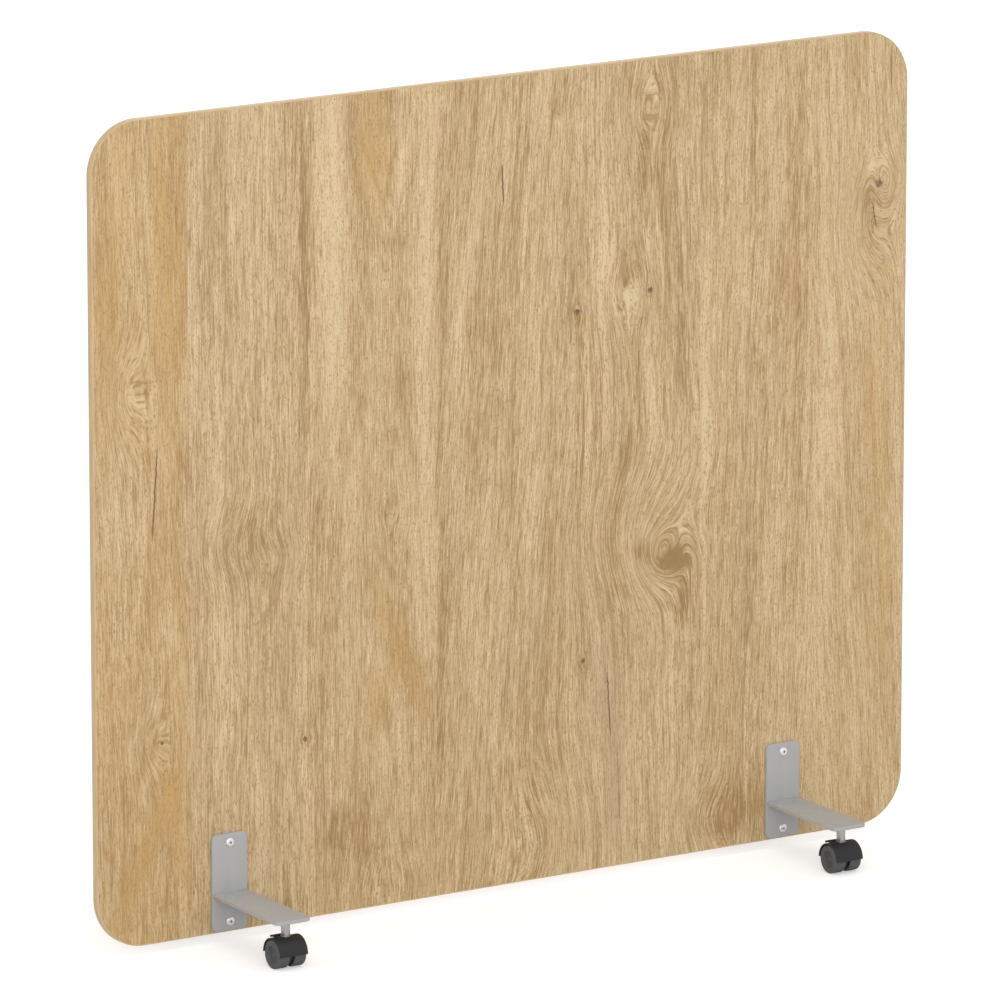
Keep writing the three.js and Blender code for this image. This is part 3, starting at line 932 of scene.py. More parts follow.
    def _ring_distance(self, graph: Graph, x: Socket, z: Socket, plank: Plank) -> Socket:
        """Returns how far a point lies from the heart of the tree, in one plank."""
        if not plank.hearts:
            return graph.scaled(z, plank.lean, x)
        nearest: Value | None = None
        for heart in plank.hearts:
            aside = graph.math("SUBTRACT", x, heart.x)
            up = graph.scaled(z, heart.slope, -heart.z * heart.slope)
            square = graph.scaled(aside, aside, graph.times(up, up))
            away = graph.math("SQRT", square)
            nearest = away if nearest is None else graph.math("SMOOTH_MIN", nearest, away, mm(20))
        return nearest

    def _nearness(
        self, graph: Graph, x: Socket, z: Socket, spot: Knot | Patch, broken: Value = 0.0
    ) -> Socket:
        """Returns 1 in the middle of a knot or patch, falling to 0 at its outline.

        Args:
            graph: The graph to work in.
            x: Place across the board.
            z: Height above the floor.
            spot: The knot or patch.
            broken: How far its outline moves in and out, from place to place.
        """
        lean = spot.lean if isinstance(spot, Patch) else 0.0
        upright = graph.scaled(z, -lean, x) if lean else x
        middle = Vector((spot.x - lean * spot.z, spot.z))
        square = self._square(graph, upright, z, middle, spot.width, spot.height)
        return graph.math("EXPONENT", graph.scaled(square, -1.0, broken))

    def _square(
        self, graph: Graph, x: Socket, z: Socket, middle: Vector, width: float, height: float
    ) -> Socket:
        """Returns the square of the distance from a middle, in half widths and half heights."""
        aside = graph.scaled(x, 1 / width, -middle.x / width)
        up = graph.scaled(z, 1 / height, -middle.y / height)
        return graph.scaled(aside, aside, graph.times(up, up))

    def _deflection(self, graph: Graph, x: Socket, z: Socket, knot: Knot) -> Socket:
        """Returns how far a knot moves the grain: aside on both sides, and swept to one."""
        aside = graph.scaled(x, 1 / knot.width, -knot.x / knot.width)
        parted = graph.scaled(graph.math("TANH", aside), -knot.part, knot.sweep)
        return graph.times(parted, self._nearness(graph, x, z, knot))

    def _eyes(self, graph: Graph, x: Socket, z: Socket) -> Value:
        """Returns the mask of the knots' dark eyes, ragged at their rims."""
        ragged = graph.noise(graph.vector(x, 0.0, z), 220.0, 2)
        mask: Value = 0.0
        for knot in self.knots:
            if knot.eye:
                middle = Vector((knot.x, knot.z))
                square = self._square(graph, x, z, middle, knot.eye, knot.eye)
                rim = graph.scaled(ragged, 2.4, square)
                mask = graph.math("MAXIMUM", mask, graph.span(rim, 1.0, 2.9, (1, 0)))
        return mask

    def _checks(self, graph: Graph, x: Socket, z: Socket) -> Value:
        """Returns the mask of the fine dark cracks."""
        jitter = graph.noise(graph.vector(0.0, 0.0, z), 90.0, 2)
        bent = graph.scaled(jitter, self.wobble, x)
        mask: Value = 0.0
        for check in self.checks:
            up = graph.scaled(z, 2 / check.length, -2 * check.z / check.length)
            line = graph.scaled(up, -check.lean * check.length / 2, bent)
            aside = graph.math("ABSOLUTE", graph.math("SUBTRACT", line, check.x + self.wobble / 2))
            end = graph.span(graph.math("ABSOLUTE", up), 0.55, 1.0, (1, 0))
            thin = graph.span(aside, 0.0, graph.times(end, check.width), (check.depth, 0))
            mask = graph.math("MAXIMUM", mask, graph.times(thin, end))
        return mask


# ------------------------------------------------------------------------------- finishes


@dataclass(frozen=True)
class Finish:
    """A material with the record's slot that it stands for."""

    material: bpy.types.Material
    slot: str


@dataclass(frozen=True)
class Effects:
    """The node groups that several finishes share."""

    wear: bpy.types.NodeTree
    fibres: bpy.types.NodeTree


def new_material(name: str) -> tuple[bpy.types.Material, Graph, bpy.types.Node]:
    """Makes a material with a Principled shader at its output.

    Args:
        name: Name of the material.

    Returns:
        The material, its graph and its shader.
    """
    material = bpy.data.materials.new(name)
    material.use_nodes = True
    graph = Graph(material.node_tree)
    shader = graph.node("ShaderNodeBsdfPrincipled")
    output = graph.node("ShaderNodeOutputMaterial")
    graph.feed(output.inputs["Surface"], shader.outputs["BSDF"])
    return material, graph, shader


@dataclass(frozen=True)
class OakLaminate:
    """Printed oak laminate with a fine pore texture.

    Attributes:
        decor: The planks, knots, patches and checks.
        columns: Weight of the broad columns.
        rings: Weight of the growth rings.
        streaks: Weight of the streaks.
        lines: Weight of the long lines.
        fibres: Weight of the fibres.
        clouds: Weight of the clouds that drift over the planks.
        pores: Weight of the dark pores.
        tint: How far the hue changes from golden to greyish.
        roughness: How matt it is.
        sheen_level: Its specular level.
    """

    decor: OakDecor = field(default_factory=OakDecor)
    columns: float = 0.6
    rings: float = 0.65
    streaks: float = 0.2
    lines: float = 0.6
    fibres: float = 2.0
    clouds: float = 0.42
    pores: float = 0.7
    tint: float = 1.6
    roughness: float = 0.62
    sheen_level: float = 0.25

    def finish(self, effects: Effects) -> Finish:
        """Returns the laminate's finish."""
        material, graph, shader = new_material("oak_laminate")
        vector = graph.coordinates()
        flow = graph.group(self.decor.flow_group(), Vector=vector)
        fibres = graph.group(
            effects.fibres,
            Grain=flow.outputs["Grain"],
            Ring=flow.outputs["Ring"],
            Along=flow.outputs["Along"],
            Seed=flow.outputs["Seed"],
        )
        x, _, z = graph.split(vector)
        cloud = graph.noise(graph.stretched(x, z, 32.0, 9.0, 1.0), 1.0, 3, 0.6)
        parts = (
            (fibres.outputs["Columns"], self.columns),
            (fibres.outputs["Rings"], self.rings),
            (fibres.outputs["Streaks"], self.streaks),
            (fibres.outputs["Lines"], self.lines),
            (fibres.outputs["Fibres"], self.fibres),
            (cloud, self.clouds),
        )
        tone = graph.math("ADD", flow.outputs["Tone"], 0.5)
        for part, weight in parts:
            tone = graph.math("ADD", tone, graph.scaled(part, weight, -weight / 2))
        wood = graph.ramp(tone, ((0.1, self.decor.dark), (0.5, self.decor.middle), (0.9, self.decor.light)))
        tinted = graph.noise(graph.stretched(x, z, 26.0, 4.0, 5.0), 1.0, 3)
        hue = graph.scaled(tinted, self.tint, -self.tint / 2)
        warmth = graph.math("ADD", flow.outputs["Warmth"], hue)
        warm = graph.times(graph.math("MAXIMUM", warmth, 0.0), 0.5)
        cool = graph.times(graph.math("MAXIMUM", graph.times(warmth, -1.0), 0.0), 0.5)
        wood = graph.blend(warm, wood, self.decor.golden)
        wood = graph.blend(cool, wood, self.decor.greyish)
        pores = graph.times(fibres.outputs["Pores"], self.pores)
        wood = graph.blend(pores, wood, self.decor.dark)
        dark = graph.math("MAXIMUM", graph.times(flow.outputs["Eye"], 0.85), flow.outputs["Check"])
        wood = graph.blend(dark, wood, self.decor.eye)
        graph.feed(shader.inputs["Base Color"], wood)
        rough = graph.scaled(fibres.outputs["Fibres"], 0.16, self.roughness - 0.08)
        graph.feed(shader.inputs["Roughness"], rough)
        shader.inputs["Specular IOR Level"].default_value = self.sheen_level
        sunk = graph.times(fibres.outputs["Pores"], 0.6)
        relief = graph.math("SUBTRACT", fibres.outputs["Fibres"], sunk)
        graph.feed(shader.inputs["Normal"], graph.bump(relief, mm(0.05), 0.6))
        return Finish(material, "oak_laminate")


@dataclass(frozen=True)
class OakEdge:
    """Oak-effect edge band, with its grain along the edge."""

    light: tuple = srgb(218, 192, 152)
    dark: tuple = srgb(197, 169, 126)
    roughness: float = 0.5

    def finish(self, effects: Effects) -> Finish:
        """Returns the edge band's finish."""
        material, graph, shader = new_material("oak_edge")
        x, y, z = graph.split(graph.coordinates())
        round_the_board = graph.math("ADD", x, z)
        fibres = graph.group(effects.fibres, Grain=y, Ring=y, Along=round_the_board, Seed=3.0)
        tone = graph.total(
            graph.scaled(fibres.outputs["Streaks"], 1.0, -0.25),
            graph.times(fibres.outputs["Fibres"], 0.5),
        )
        graph.feed(shader.inputs["Base Color"], graph.ramp(tone, ((0.25, self.dark), (0.8, self.light))))
        rough = graph.scaled(fibres.outputs["Fibres"], 0.12, self.roughness)
        graph.feed(shader.inputs["Roughness"], rough)
        shader.inputs["Specular IOR Level"].default_value = 0.3
        graph.feed(shader.inputs["Normal"], graph.bump(fibres.outputs["Fibres"], mm(0.03), 0.5))
        return Finish(material, "oak_edge")


@dataclass(frozen=True)
class Solid:
    """A finish of one colour with grain, scuffs, rubbed edges and painted shade in its creases: paint,
    metal or nylon.

    Attributes:
        name: Name of the material.
        colour: Its colour.
        rubbed: Its colour where edges are rubbed.
        roughness: How matt it is.
        metallic: 1 for bare metal.
        grain_size: Size of its surface grain.
        grain_depth: Depth of the grain.
        variation: How far its colour varies.
        level: Its specular level.
        slot: Its slot in the record, where that isn't its name.
    """

    name: str
    colour: tuple
    rubbed: tuple
    roughness: float
    metallic: float = 0.0
    grain_size: float = mm(0.6)
    grain_depth: float = mm(0.02)
    variation: float = 0.12
    level: float = 0.5
    slot: str = ""

    def finish(self, effects: Effects) -> Finish:
        """Returns the finish, with its slot in the record."""
        material, graph, shader = new_material(self.name)
        wear = graph.group(effects.wear, Vector=graph.coordinates())
        wear.inputs["Grain Size"].default_value = self.grain_size
        shade = graph.scaled(wear.outputs["Grain"], self.variation, 1 - self.variation / 2)
        grey = graph.vector(shade, shade, shade)
        colour = graph.blend(1.0, self.colour, grey, "MULTIPLY")
        edge = graph.times(wear.outputs["Edge"], 0.6)
        rubbed = graph.blend(edge, colour, self.rubbed)
        # Darkens concave creases and recesses towards black: painted shade.
        painted_crease_shade = graph.times(wear.outputs["Crease"], 0.7)
        graph.feed(shader.inputs["Base Color"], graph.blend(painted_crease_shade, rubbed, (0.01, 0.01, 0.01, 1)))
        rough = graph.scaled(wear.outputs["Scuff"], 0.12, self.roughness)
        graph.feed(shader.inputs["Roughness"], rough)
        shader.inputs["Metallic"].default_value = self.metallic
        shader.inputs["Specular IOR Level"].default_value = self.level
        graph.feed(shader.inputs["Normal"], graph.bump(wear.outputs["Grain"], self.grain_depth, 0.5))
        return Finish(material, self.slot or self.name)


@dataclass(frozen=True)
class Fibreboard:
    """Raw fibreboard, seen only inside the bolt holes."""

    light: tuple = srgb(181, 150, 110)
    dark: tuple = srgb(140, 110, 76)

    def finish(self, effects: Effects) -> Finish:
        """Returns the fibreboard's finish."""
        material, graph, shader = new_material("fibreboard")
        chips = graph.noise(graph.coordinates(), 1400.0, 4, 0.7)
        graph.feed(shader.inputs["Base Color"], graph.ramp(chips, ((0.3, self.dark), (0.7, self.light))))
        graph.feed(shader.inputs["Roughness"], graph.span(chips, 0.2, 0.8, (0.85, 0.95)))
        graph.feed(shader.inputs["Normal"], graph.bump(chips, mm(0.2), 0.7))
        return Finish(material, "fibreboard")


class Finishes:
    """Every finish of the partition, made once, with its slot in the record."""

    def __init__(self) -> None:
        """Makes the shared effects and the materials."""
        effects = Effects(wear_group(), fibre_group())
        self.oak = OakLaminate().finish(effects)
        self.edge = OakEdge().finish(effects)
        self.fibreboard = Fibreboard().finish(effects)
        self.paint = Solid(
            "painted_steel", srgb(177, 177, 177), srgb(190, 190, 189), 0.5,
            grain_size=mm(0.9), grain_depth=mm(0.02), variation=0.03, level=0.35,
        ).finish(effects)
        self.zinc = Solid(
            "zinc_steel", srgb(188, 189, 191), srgb(214, 214, 214), 0.3, 0.85,
            grain_size=mm(0.5), variation=0.08,
        ).finish(effects)
        # A near-white copy of zinc_steel for the bolts and nuts: painted highlight on their heads.
        self.bright_zinc = Solid(
            "bright_zinc", srgb(242, 243, 244), srgb(248, 248, 248), 0.28, 0.6,
            grain_size=mm(0.5), variation=0.04, slot="zinc_steel",
        ).finish(effects)
        # A dark copy of zinc_steel for the bolt's cross recess: painted shade in the recess.
        self.dull_zinc = Solid(
            "dull_zinc", srgb(84, 85, 88), srgb(120, 120, 120), 0.55, 0.4,
            grain_size=mm(0.5), variation=0.1, slot="zinc_steel",
        ).finish(effects)
        self.spring = Solid(
            "spring_steel", srgb(141, 143, 146), srgb(170, 170, 172), 0.35, 1.0, grain_size=mm(0.4),
        ).finish(effects)
        self.nylon = Solid(
            "dark_nylon", srgb(47, 47, 48), srgb(62, 62, 63), 0.55,
            grain_size=mm(0.35), grain_depth=mm(0.03), variation=0.1, level=0.3,
        ).finish(effects)
        self.wheel = Solid(
            "wheel_nylon", srgb(90, 90, 91), srgb(106, 106, 107), 0.6,
            grain_size=mm(0.35), grain_depth=mm(0.03), variation=0.1, level=0.3,
        ).finish(effects)


def dress(piece: bpy.types.Object, material: bpy.types.Material) -> None:
    """Gives a piece its material, in every slot that it has."""
    if not piece.material_slots:
        piece.data.materials.append(material)
    for slot in piece.material_slots:
        slot.material = material


# ------------------------------------------------------------------------------ assembling


def fit(piece: bpy.types.Object, node: str, finish: Finish) -> bpy.types.Object:
    """Puts a finished piece in the place of a CAD node: it rides on the node's body.

    Args:
        piece: The piece, with its place in its mesh.
        node: The CAD node that it stands for.
        finish: Its material and slot.

    Returns:
        The piece.
    """
    if not any(slot.material for slot in piece.material_slots):
        dress(piece, finish.material)
    smooth(piece)
    body = frame["nodes"][node]["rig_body"]
    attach(piece, body)
    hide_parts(node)
    log.info("%s: %d faces on %s", piece.name, len(piece.data.polygons), body)
    return piece


def fit_copies(
    model: bpy.types.Object, part: str, finish: Finish, places: Iterable[tuple[str, Matrix]]
) -> None:
    """Fits a copy of a model at each place, and removes the model.

    Args:
        model: The piece as modelled in its own frame.
        part: What the piece is called, after the place's name.
        finish: Its material and slot.
        places: Name and matrix of each place.
    """
    for place, matrix in places:
        node = f"{place}_{part}"
        fit(copied(model, f"{node}_fine", matrix), node, finish)
    bpy.data.objects.remove(model)


# --------------------------------------------------------------------------------- board


@dataclass
class Board:
    """The laminated board and its edge band.

    Attributes:
        finishes: The materials.
        corner_radius: Radius of the board's corners.
        band_thickness: Thickness of the band, with the glue behind it.
        edge_radius: Rounding of the band's long edges.
    """

    finishes: "Finishes"
    corner_radius: float = mm(75)
    band_thickness: float = mm(1.8)
    edge_radius: float = mm(0.7)

    def build(self) -> None:
        """Dresses the board's layers and models its edge band."""
        layers = {
            "board_core": self.finishes.fibreboard,
            "front_laminate": self.finishes.oak,
            "rear_laminate": self.finishes.oak,
        }
        for node, finish in layers.items():
            dress(frame["nodes"][node], finish.material)
            log.info("%s: dressed", node)
        fit(self._band(), "edge_band", self.finishes.edge)

    def _rounded_slab(self, name: str, extent: Extent, radius: float) -> bpy.types.Object:
        """Returns a slab that faces the front, with rounded corners."""
        slab = block(name, extent)
        round_corners(slab, lambda edge: abs(edge_direction(edge).y) > 0.9, radius, 40)
        return slab

    def _band(self) -> bpy.types.Object:
        """Returns the band: a slab with eased edges, hollowed by a smaller one."""
        outer = Extent.of("edge_band")
        band = self._rounded_slab("edge_band_fine", outer, self.corner_radius)
        ease_edges(band, self.edge_radius)
        inwards = Vector((self.band_thickness, -self.band_thickness, self.band_thickness))
        inner = Extent(outer.low + inwards, outer.high - inwards)
        radius = self.corner_radius - self.band_thickness
        combine(band, self._rounded_slab("hollow", inner, radius), Cut.TAKE_AWAY)
        return band


# ------------------------------------------------------------------------------- brackets


@dataclass
class Brackets:
    """The welded steel brackets: mount plates, foot plates, weld beads and sleeves.

    A bracket is modelled in the frame of its swivel: Z is the swivel axis and the board lies
    on the +Y side.

    Attributes:
        finishes: The materials.
        corner_radius: Radius of the plates' corners.
        edge_radius: Rounding of the plates' edges under the paint.
        hole_clearance: Room around a bolt or a nut in its hole.
        bolt_radius: Radius of a bolt's shank.
        barrel_radius: Radius of a nut's barrel.
        ripple: Length of one ripple of the weld bead.
        ripple_depth: Depth of the ripples, as a share of the bead.
        sleeve_wall: Wall of the swivel sleeve.
        sleeve_chamfer: Rounding of the sleeve's ends.
    """

    finishes: "Finishes"
    corner_radius: float = mm(8)
    edge_radius: float = mm(0.6)
    hole_clearance: float = mm(0.3)
    bolt_radius: float = mm(3)
    barrel_radius: float = mm(4.5)
    ripple: float = mm(2.4)
    ripple_depth: float = 0.09
    sleeve_wall: float = mm(1.75)
    sleeve_chamfer: float = mm(0.4)

    def build(self) -> None:
        """Models each piece once and fits its copies."""
        for face, hole in ((Face.FRONT, self.bolt_radius), (Face.REAR, self.barrel_radius)):
            places = swivel_places(face)
            plate = self._mount_plate(hole + self.hole_clearance)
            fit_copies(plate, "mount_plate", self.finishes.paint, places)
        everywhere = swivel_places()
        fit_copies(self._foot_plate(), "foot_plate", self.finishes.paint, everywhere)
        fit_copies(self._weld_bead(), "weld_bead", self.finishes.paint, everywhere)
        fit_copies(self._sleeve(), "swivel_sleeve", self.finishes.zinc, everywhere)

    def _mount_plate(self, hole: float) -> bpy.types.Object:
        """Returns the upright plate with its two bolt holes."""
        extent = near_swivel("mount_plate")
        plate = block("mount_plate", extent)
        round_corners(
            plate, lambda edge: abs(edge_direction(edge).y) > 0.9, self.corner_radius, 10
        )
        for level in ("lower", "upper"):
            height = Extent.of(f"left_{level}_bolt").centre.z
            depth = 2 * extent.size.y
            foot = Vector((0, extent.centre.y - depth / 2, height))
            drill = turned("drill", ((hole, 0), (hole, depth)), Axis.Y, foot, ROUND_SIDES)
            combine(plate, drill, Cut.TAKE_AWAY)
        ease_edges(plate, self.edge_radius)
        return plate

    def _foot_plate(self) -> bpy.types.Object:
        """Returns the plate that stands out from the board, with its free corners rounded."""
        extent = near_swivel("foot_plate")
        plate = block("foot_plate", extent)

        def free_corner(edge: bmesh.types.BMEdge) -> bool:
            """Returns whether an upright edge lies at the free end."""
            return abs(edge_direction(edge).z) > 0.9 and edge_middle(edge).y < extent.centre.y

        round_corners(plate, free_corner, self.corner_radius, 10)
        ease_edges(plate, self.edge_radius)
        return plate

    def _weld_bead(self) -> bpy.types.Object:
        """Returns the rippled bead in the corner under the foot plate."""
        extent = near_swivel("weld_bead")
        leg = extent.size.y
        length = extent.size.x
        steps = 4 * round(length / self.ripple)
        profile = []
        for step in range(steps + 1):
            share = step / steps
            ends = min(1.0, math.sin(math.pi * share) * 4 + 0.35)
            wave = 1 - self.ripple_depth * (1 - math.cos(math.pi * step / 2)) / 2
            profile.append((leg * ends * wave, share * length))
        corner = Vector((extent.low.x, extent.high.y, extent.high.z))
        bead = turned("weld_bead", profile, Axis.X, corner, SMALL_SIDES)
        for normal in (Vector((0, 1, 0)), Vector((0, 0, 1))):
            with editing(bead):
                bpy.ops.mesh.select_all(action="SELECT")
                bpy.ops.mesh.bisect(
                    plane_co=corner, plane_no=normal, use_fill=True, clear_outer=True
                )
        return bead

    def _sleeve(self) -> bpy.types.Object:
        """Returns the sleeve that the caster's stem turns in."""
        extent = near_swivel("swivel_sleeve")
        inner = extent.size.x / 2 - self.sleeve_wall
        return tube("swivel_sleeve", extent, inner, self.sleeve_chamfer)


def swivel_axis(place: Place) -> Vector:
    """Returns the point on the floor under a place's swivel axis."""
    centre = Extent.of(f"{place.name}_stem").centre
    return Vector((centre.x, centre.y, 0))


def near_swivel(part: str) -> Extent:
    """Returns the box of the front left piece of a kind, from its swivel axis."""
    first = PLACES[0]
    return Extent.of(f"{first.name}_{part}").moved(-swivel_axis(first))


def swivel_places(only: Face | None = None) -> list[tuple[str, Matrix]]:
    """Returns the name and matrix of each swivel, on one face of the board or on both."""
    return [
        (place.name, Matrix.Translation(swivel_axis(place)) @ Matrix.Rotation(place.face.value, 4, "Z"))
        for place in PLACES
        if only in (None, place.face)
    ]


# ------------------------------------------------------------------------------ fasteners


@dataclass
class Fasteners:
    """The pan-head bolts with a cross recess, and the slotted sleeve nuts.

    A fastener is modelled about the Y axis, as it lies in the board.

    Attributes:
        finishes: The materials.
        shank_radius: Radius of the bolt's shank.
        head_height: Height of the bolt's head.
        crown_rise: How far the head's crown stands above its rim.
        recess_length: Length of the cross recess.
        recess_width: Width of one slot of the cross.
        recess_depth: Depth of the cross recess.
        recess_taper: Size of the recess at its bottom, as a share of its mouth.
        nut_bore: Radius of the nut's bore.
        nut_barrel: Radius of the nut's barrel.
        nut_head_height: Height of the nut's head.
        nut_chamfer: Chamfer of the nut's head.
        slot_width: Width of the nut's slot.
        slot_depth: Depth of the nut's slot.
        bore_end: How far the bore ends below the nut's head.
    """

    finishes: "Finishes"
    shank_radius: float = mm(3)
    head_height: float = mm(3.4)
    crown_rise: float = mm(1.9)
    recess_length: float = mm(6)
    recess_width: float = mm(1.4)
    recess_depth: float = mm(1.9)
    recess_taper: float = 0.55
    nut_bore: float = mm(3.3)
    nut_barrel: float = mm(4.5)
    nut_head_height: float = mm(2.2)
    nut_chamfer: float = mm(0.9)
    slot_width: float = mm(1.6)
    slot_depth: float = mm(1)
    bore_end: float = mm(1)

    def build(self) -> None:
        """Models one bolt and one nut and fits their copies."""
        places = [
            (f"{side.name.lower()}_{level}", self._place(f"{side.name.lower()}_{level}"))
            for side in Side
            for level in ("lower", "upper")
        ]
        # Bolts and nuts take the near-white copy of zinc: painted highlight.
        fit_copies(self._bolt(), "bolt", self.finishes.bright_zinc, places)
        fit_copies(self._nut(), "sleeve_nut", self.finishes.bright_zinc, places)

    def _place(self, name: str) -> Matrix:
        """Returns the matrix of a bolt's axis."""
        centre = Extent.of(f"{name}_bolt").centre
        return Matrix.Translation((centre.x, 0, centre.z))

    def _bolt(self) -> bpy.types.Object:
        """Returns the bolt, with its head towards -Y."""
        extent = Extent.of("left_lower_bolt")
        head = extent.size.x / 2
        crown = extent.low.y
        seat = crown + self.head_height
        dome = [
            (head * math.sin(turn), crown + self.crown_rise * (1 - math.cos(turn)))
            for turn in (math.radians(degrees) for degrees in range(10, 91, 10))
        ]
        profile = (*dome, (head, seat), (self.shank_radius, seat), (self.shank_radius, extent.high.y))
        bolt = turned("bolt", profile, Axis.Y, Vector(), ROUND_SIDES)
        dress(bolt, self.finishes.bright_zinc.material)
        for length, width in (
            (self.recess_length, self.recess_width), (self.recess_width, self.recess_length),
        ):
            size = Vector((length, 2 * self.recess_depth, width)) / 2
            middle = Vector((0, crown, 0))
            slot = block("slot", Extent(middle - size, middle + size))
            with editing(slot, "FACE"):
                pick_faces(slot, lambda face: face.normal.y > 0.9)
                bpy.ops.transform.resize(
                    value=(self.recess_taper, 1, self.recess_taper),
                    center_override=(0, crown + self.recess_depth, 0),
                )
            # The recess faces take this dark finish through the cut: painted shade in the cross recess.
            dress(slot, self.finishes.dull_zinc.material)
            combine(bolt, slot, Cut.TAKE_AWAY)
        ease_edges(bolt, mm(0.12), 2)
        return bolt

    def _nut(self) -> bpy.types.Object:
        """Returns the sleeve nut, with its slotted head towards +Y."""
        extent = Extent.of("left_lower_sleeve_nut")
        head = extent.size.x / 2
        crown = extent.high.y
        seat = crown - self.nut_head_height
        profile = (
            (self.nut_bore, seat - self.bore_end),
            (self.nut_bore, extent.low.y),
            (self.nut_barrel, extent.low.y),
            (self.nut_barrel, seat),
            (head, seat),
            (head, crown - self.nut_chamfer),
            (head - self.nut_chamfer, crown),
        )
        nut = turned("sleeve_nut", profile, Axis.Y, Vector(), ROUND_SIDES)
        size = Vector((2 * head, self.slot_depth, self.slot_width / 2))
        middle = Vector((0, crown, 0))
        combine(nut, block("slot", Extent(middle - size, middle + size)), Cut.TAKE_AWAY)
        ease_edges(nut, mm(0.2), 2)
        return nut


# -------------------------------------------------------------------------------- casters


@dataclass
class Casters:
    """The twin-wheel casters: stem, washer, hood, axle, wheels and brake pedal.

    A caster is modelled in the frame of its swivel, with the pedal on the +Y side.

    Attributes:
        finishes: The materials.
        tread_edge: Rounding of the tread's outer edge.
        tread_chamfer: Chamfer of the tread's inner edge.
        rim: Thickness of the wheel's rim.
        recess_radius: Radius of the recess in the wheel's outer side.
        recess_depth: Depth of the recess.
        recess_taper: Slope of the recess's wall.
        ring_groove: Half width of the groove round the recess.
        disc: Thickness of the wheel's disc.
        hub: Radius of the wheel's hub.
        hub_cap: Radius of the hub cap.
        hub_cap_height: How far the hub cap stands out of the recess.
        axle_radius: Radius of the axle.
        axle_cover: How much of the wheel lies over the axle's end.
        running_gap: Room between parts that move.
        moulded_edge: Rounding of the hood's edges.
        hood_wall: Thickness of the hood.
        hood_over_wheel: Room between hood and tread.
        boss_radius: Radius of the boss round the stem.
        boss_rise: How far the boss stands over the hood.
        web_radius: Radius of the web between the wheels.
        web_side_gap: Room between web and wheel.
        column_depth: Depth of the column that carries the stem.
        stem_radius: Radius of the stem.
        pin_radius: Radius of the pin below the stem's shoulder.
        pin_length: Length of the pin.
        stem_above_wheel: Height of the stem's shoulder over the wheels.
        pedal_width: Width of the brake pedal.
        pedal_length: Length of the brake pedal.
        pedal_thickness: Thickness of the brake pedal.
        pedal_corner: Radius of the pedal's free corners.
        pedal_slope: How far the released pedal slopes, in degrees.
        knuckle: Radius of the pedal's knuckle.
        trunnion: Radius of the pedal's trunnions.
        trunnion_length: How far a trunnion reaches into its ear.
        ear_thickness: Thickness of the hood's ears.
        ear_height: How far an ear reaches down.
        shoe_width: Width of the brake shoe.
        shoe_thickness: Thickness of the brake shoe.
        shoe_angle: Where the shoe stands on the tread, in degrees.
        shoe_over_wheel: Room between shoe and tread.
        shoe_room: Extra room that the shoe swings through.
    """

    finishes: "Finishes"
    tread_edge: float = mm(1.8)
    tread_chamfer: float = mm(1.2)
    rim: float = mm(3.8)
    recess_radius: float = mm(12.25)
    recess_depth: float = mm(4)
    recess_taper: float = mm(0.8)
    ring_groove: float = mm(0.5)
    disc: float = mm(3.5)
    hub: float = mm(6.5)
    hub_cap: float = mm(4)
    hub_cap_height: float = mm(1.5)
    axle_radius: float = mm(2.8)
    axle_cover: float = mm(2.5)
    running_gap: float = mm(0.3)
    moulded_edge: float = mm(0.45)
    hood_wall: float = mm(1.9)
    hood_over_wheel: float = mm(1.2)
    boss_radius: float = mm(8)
    boss_rise: float = mm(0.3)
    web_radius: float = mm(16)
    web_side_gap: float = mm(0.4)
    column_depth: float = mm(12)
    stem_radius: float = mm(4)
    pin_radius: float = mm(2.3)
    pin_length: float = mm(14)
    stem_above_wheel: float = mm(1.2)
    pedal_width: float = mm(16.4)
    pedal_length: float = mm(18.8)
    pedal_thickness: float = mm(3)
    pedal_corner: float = mm(2.5)
    pedal_slope: float = 15.5
    knuckle: float = mm(2.1)
    trunnion: float = mm(1.2)
    trunnion_length: float = mm(2)
    ear_thickness: float = mm(2.2)
    ear_height: float = mm(8)
    shoe_width: float = mm(12)
    shoe_thickness: float = mm(4.4)
    shoe_angle: float = 50.0
    shoe_over_wheel: float = mm(1)
    shoe_room: float = mm(0.9)

    def __post_init__(self) -> None:
        """Works out the places that the pieces share."""
        wheel = near_swivel("wheel_left")
        self.axle_point = Vector((0, 0, wheel.centre.z))
        self.wheel_radius = wheel.size.z / 2
        self.wheel_width = wheel.size.x
        self.wheel_gap = -2 * wheel.high.x
        self.hood_inner = self.wheel_radius + self.hood_over_wheel
        self.hood_outer = self.hood_inner + self.hood_wall
        first = PLACES[0]
        joint = next(j for j in frame["joints"] if j["name"] == f"{first.name}_brake")
        self.pivot = Vector(joint["pos_m"]) - swivel_axis(first)
        self.pivot.x = 0

    def build(self) -> None:
        """Models each piece once and fits its copies."""
        places = swivel_places()
        fit_copies(self._stem(), "stem", self.finishes.zinc, places)
        fit_copies(self._washer(), "thrust_washer", self.finishes.zinc, places)
        fit_copies(self._hood(), "hood", self.finishes.nylon, places)
        fit_copies(self._axle(), "axle", self.finishes.spring, places)
        fit_copies(self._wheel(Side.LEFT), "wheel_left", self.finishes.wheel, places)
        fit_copies(self._wheel(Side.RIGHT), "wheel_right", self.finishes.wheel, places)
        fit_copies(self._pedal(), "brake_pedal", self.finishes.nylon, places)
        for place in PLACES:
            dress(frame["nodes"][f"{place.name}_grip_ring"], self.finishes.spring.material)

    def _rod(
        self, radius: float, length: float, middle: Vector, sides: int = ROUND_SIDES
    ) -> bpy.types.Object:
        """Returns a plain rod along X about a point, used to join or cut."""
        foot = middle - Vector((length / 2, 0, 0))
        return turned("rod", ((radius, 0), (radius, length)), Axis.X, foot, sides)

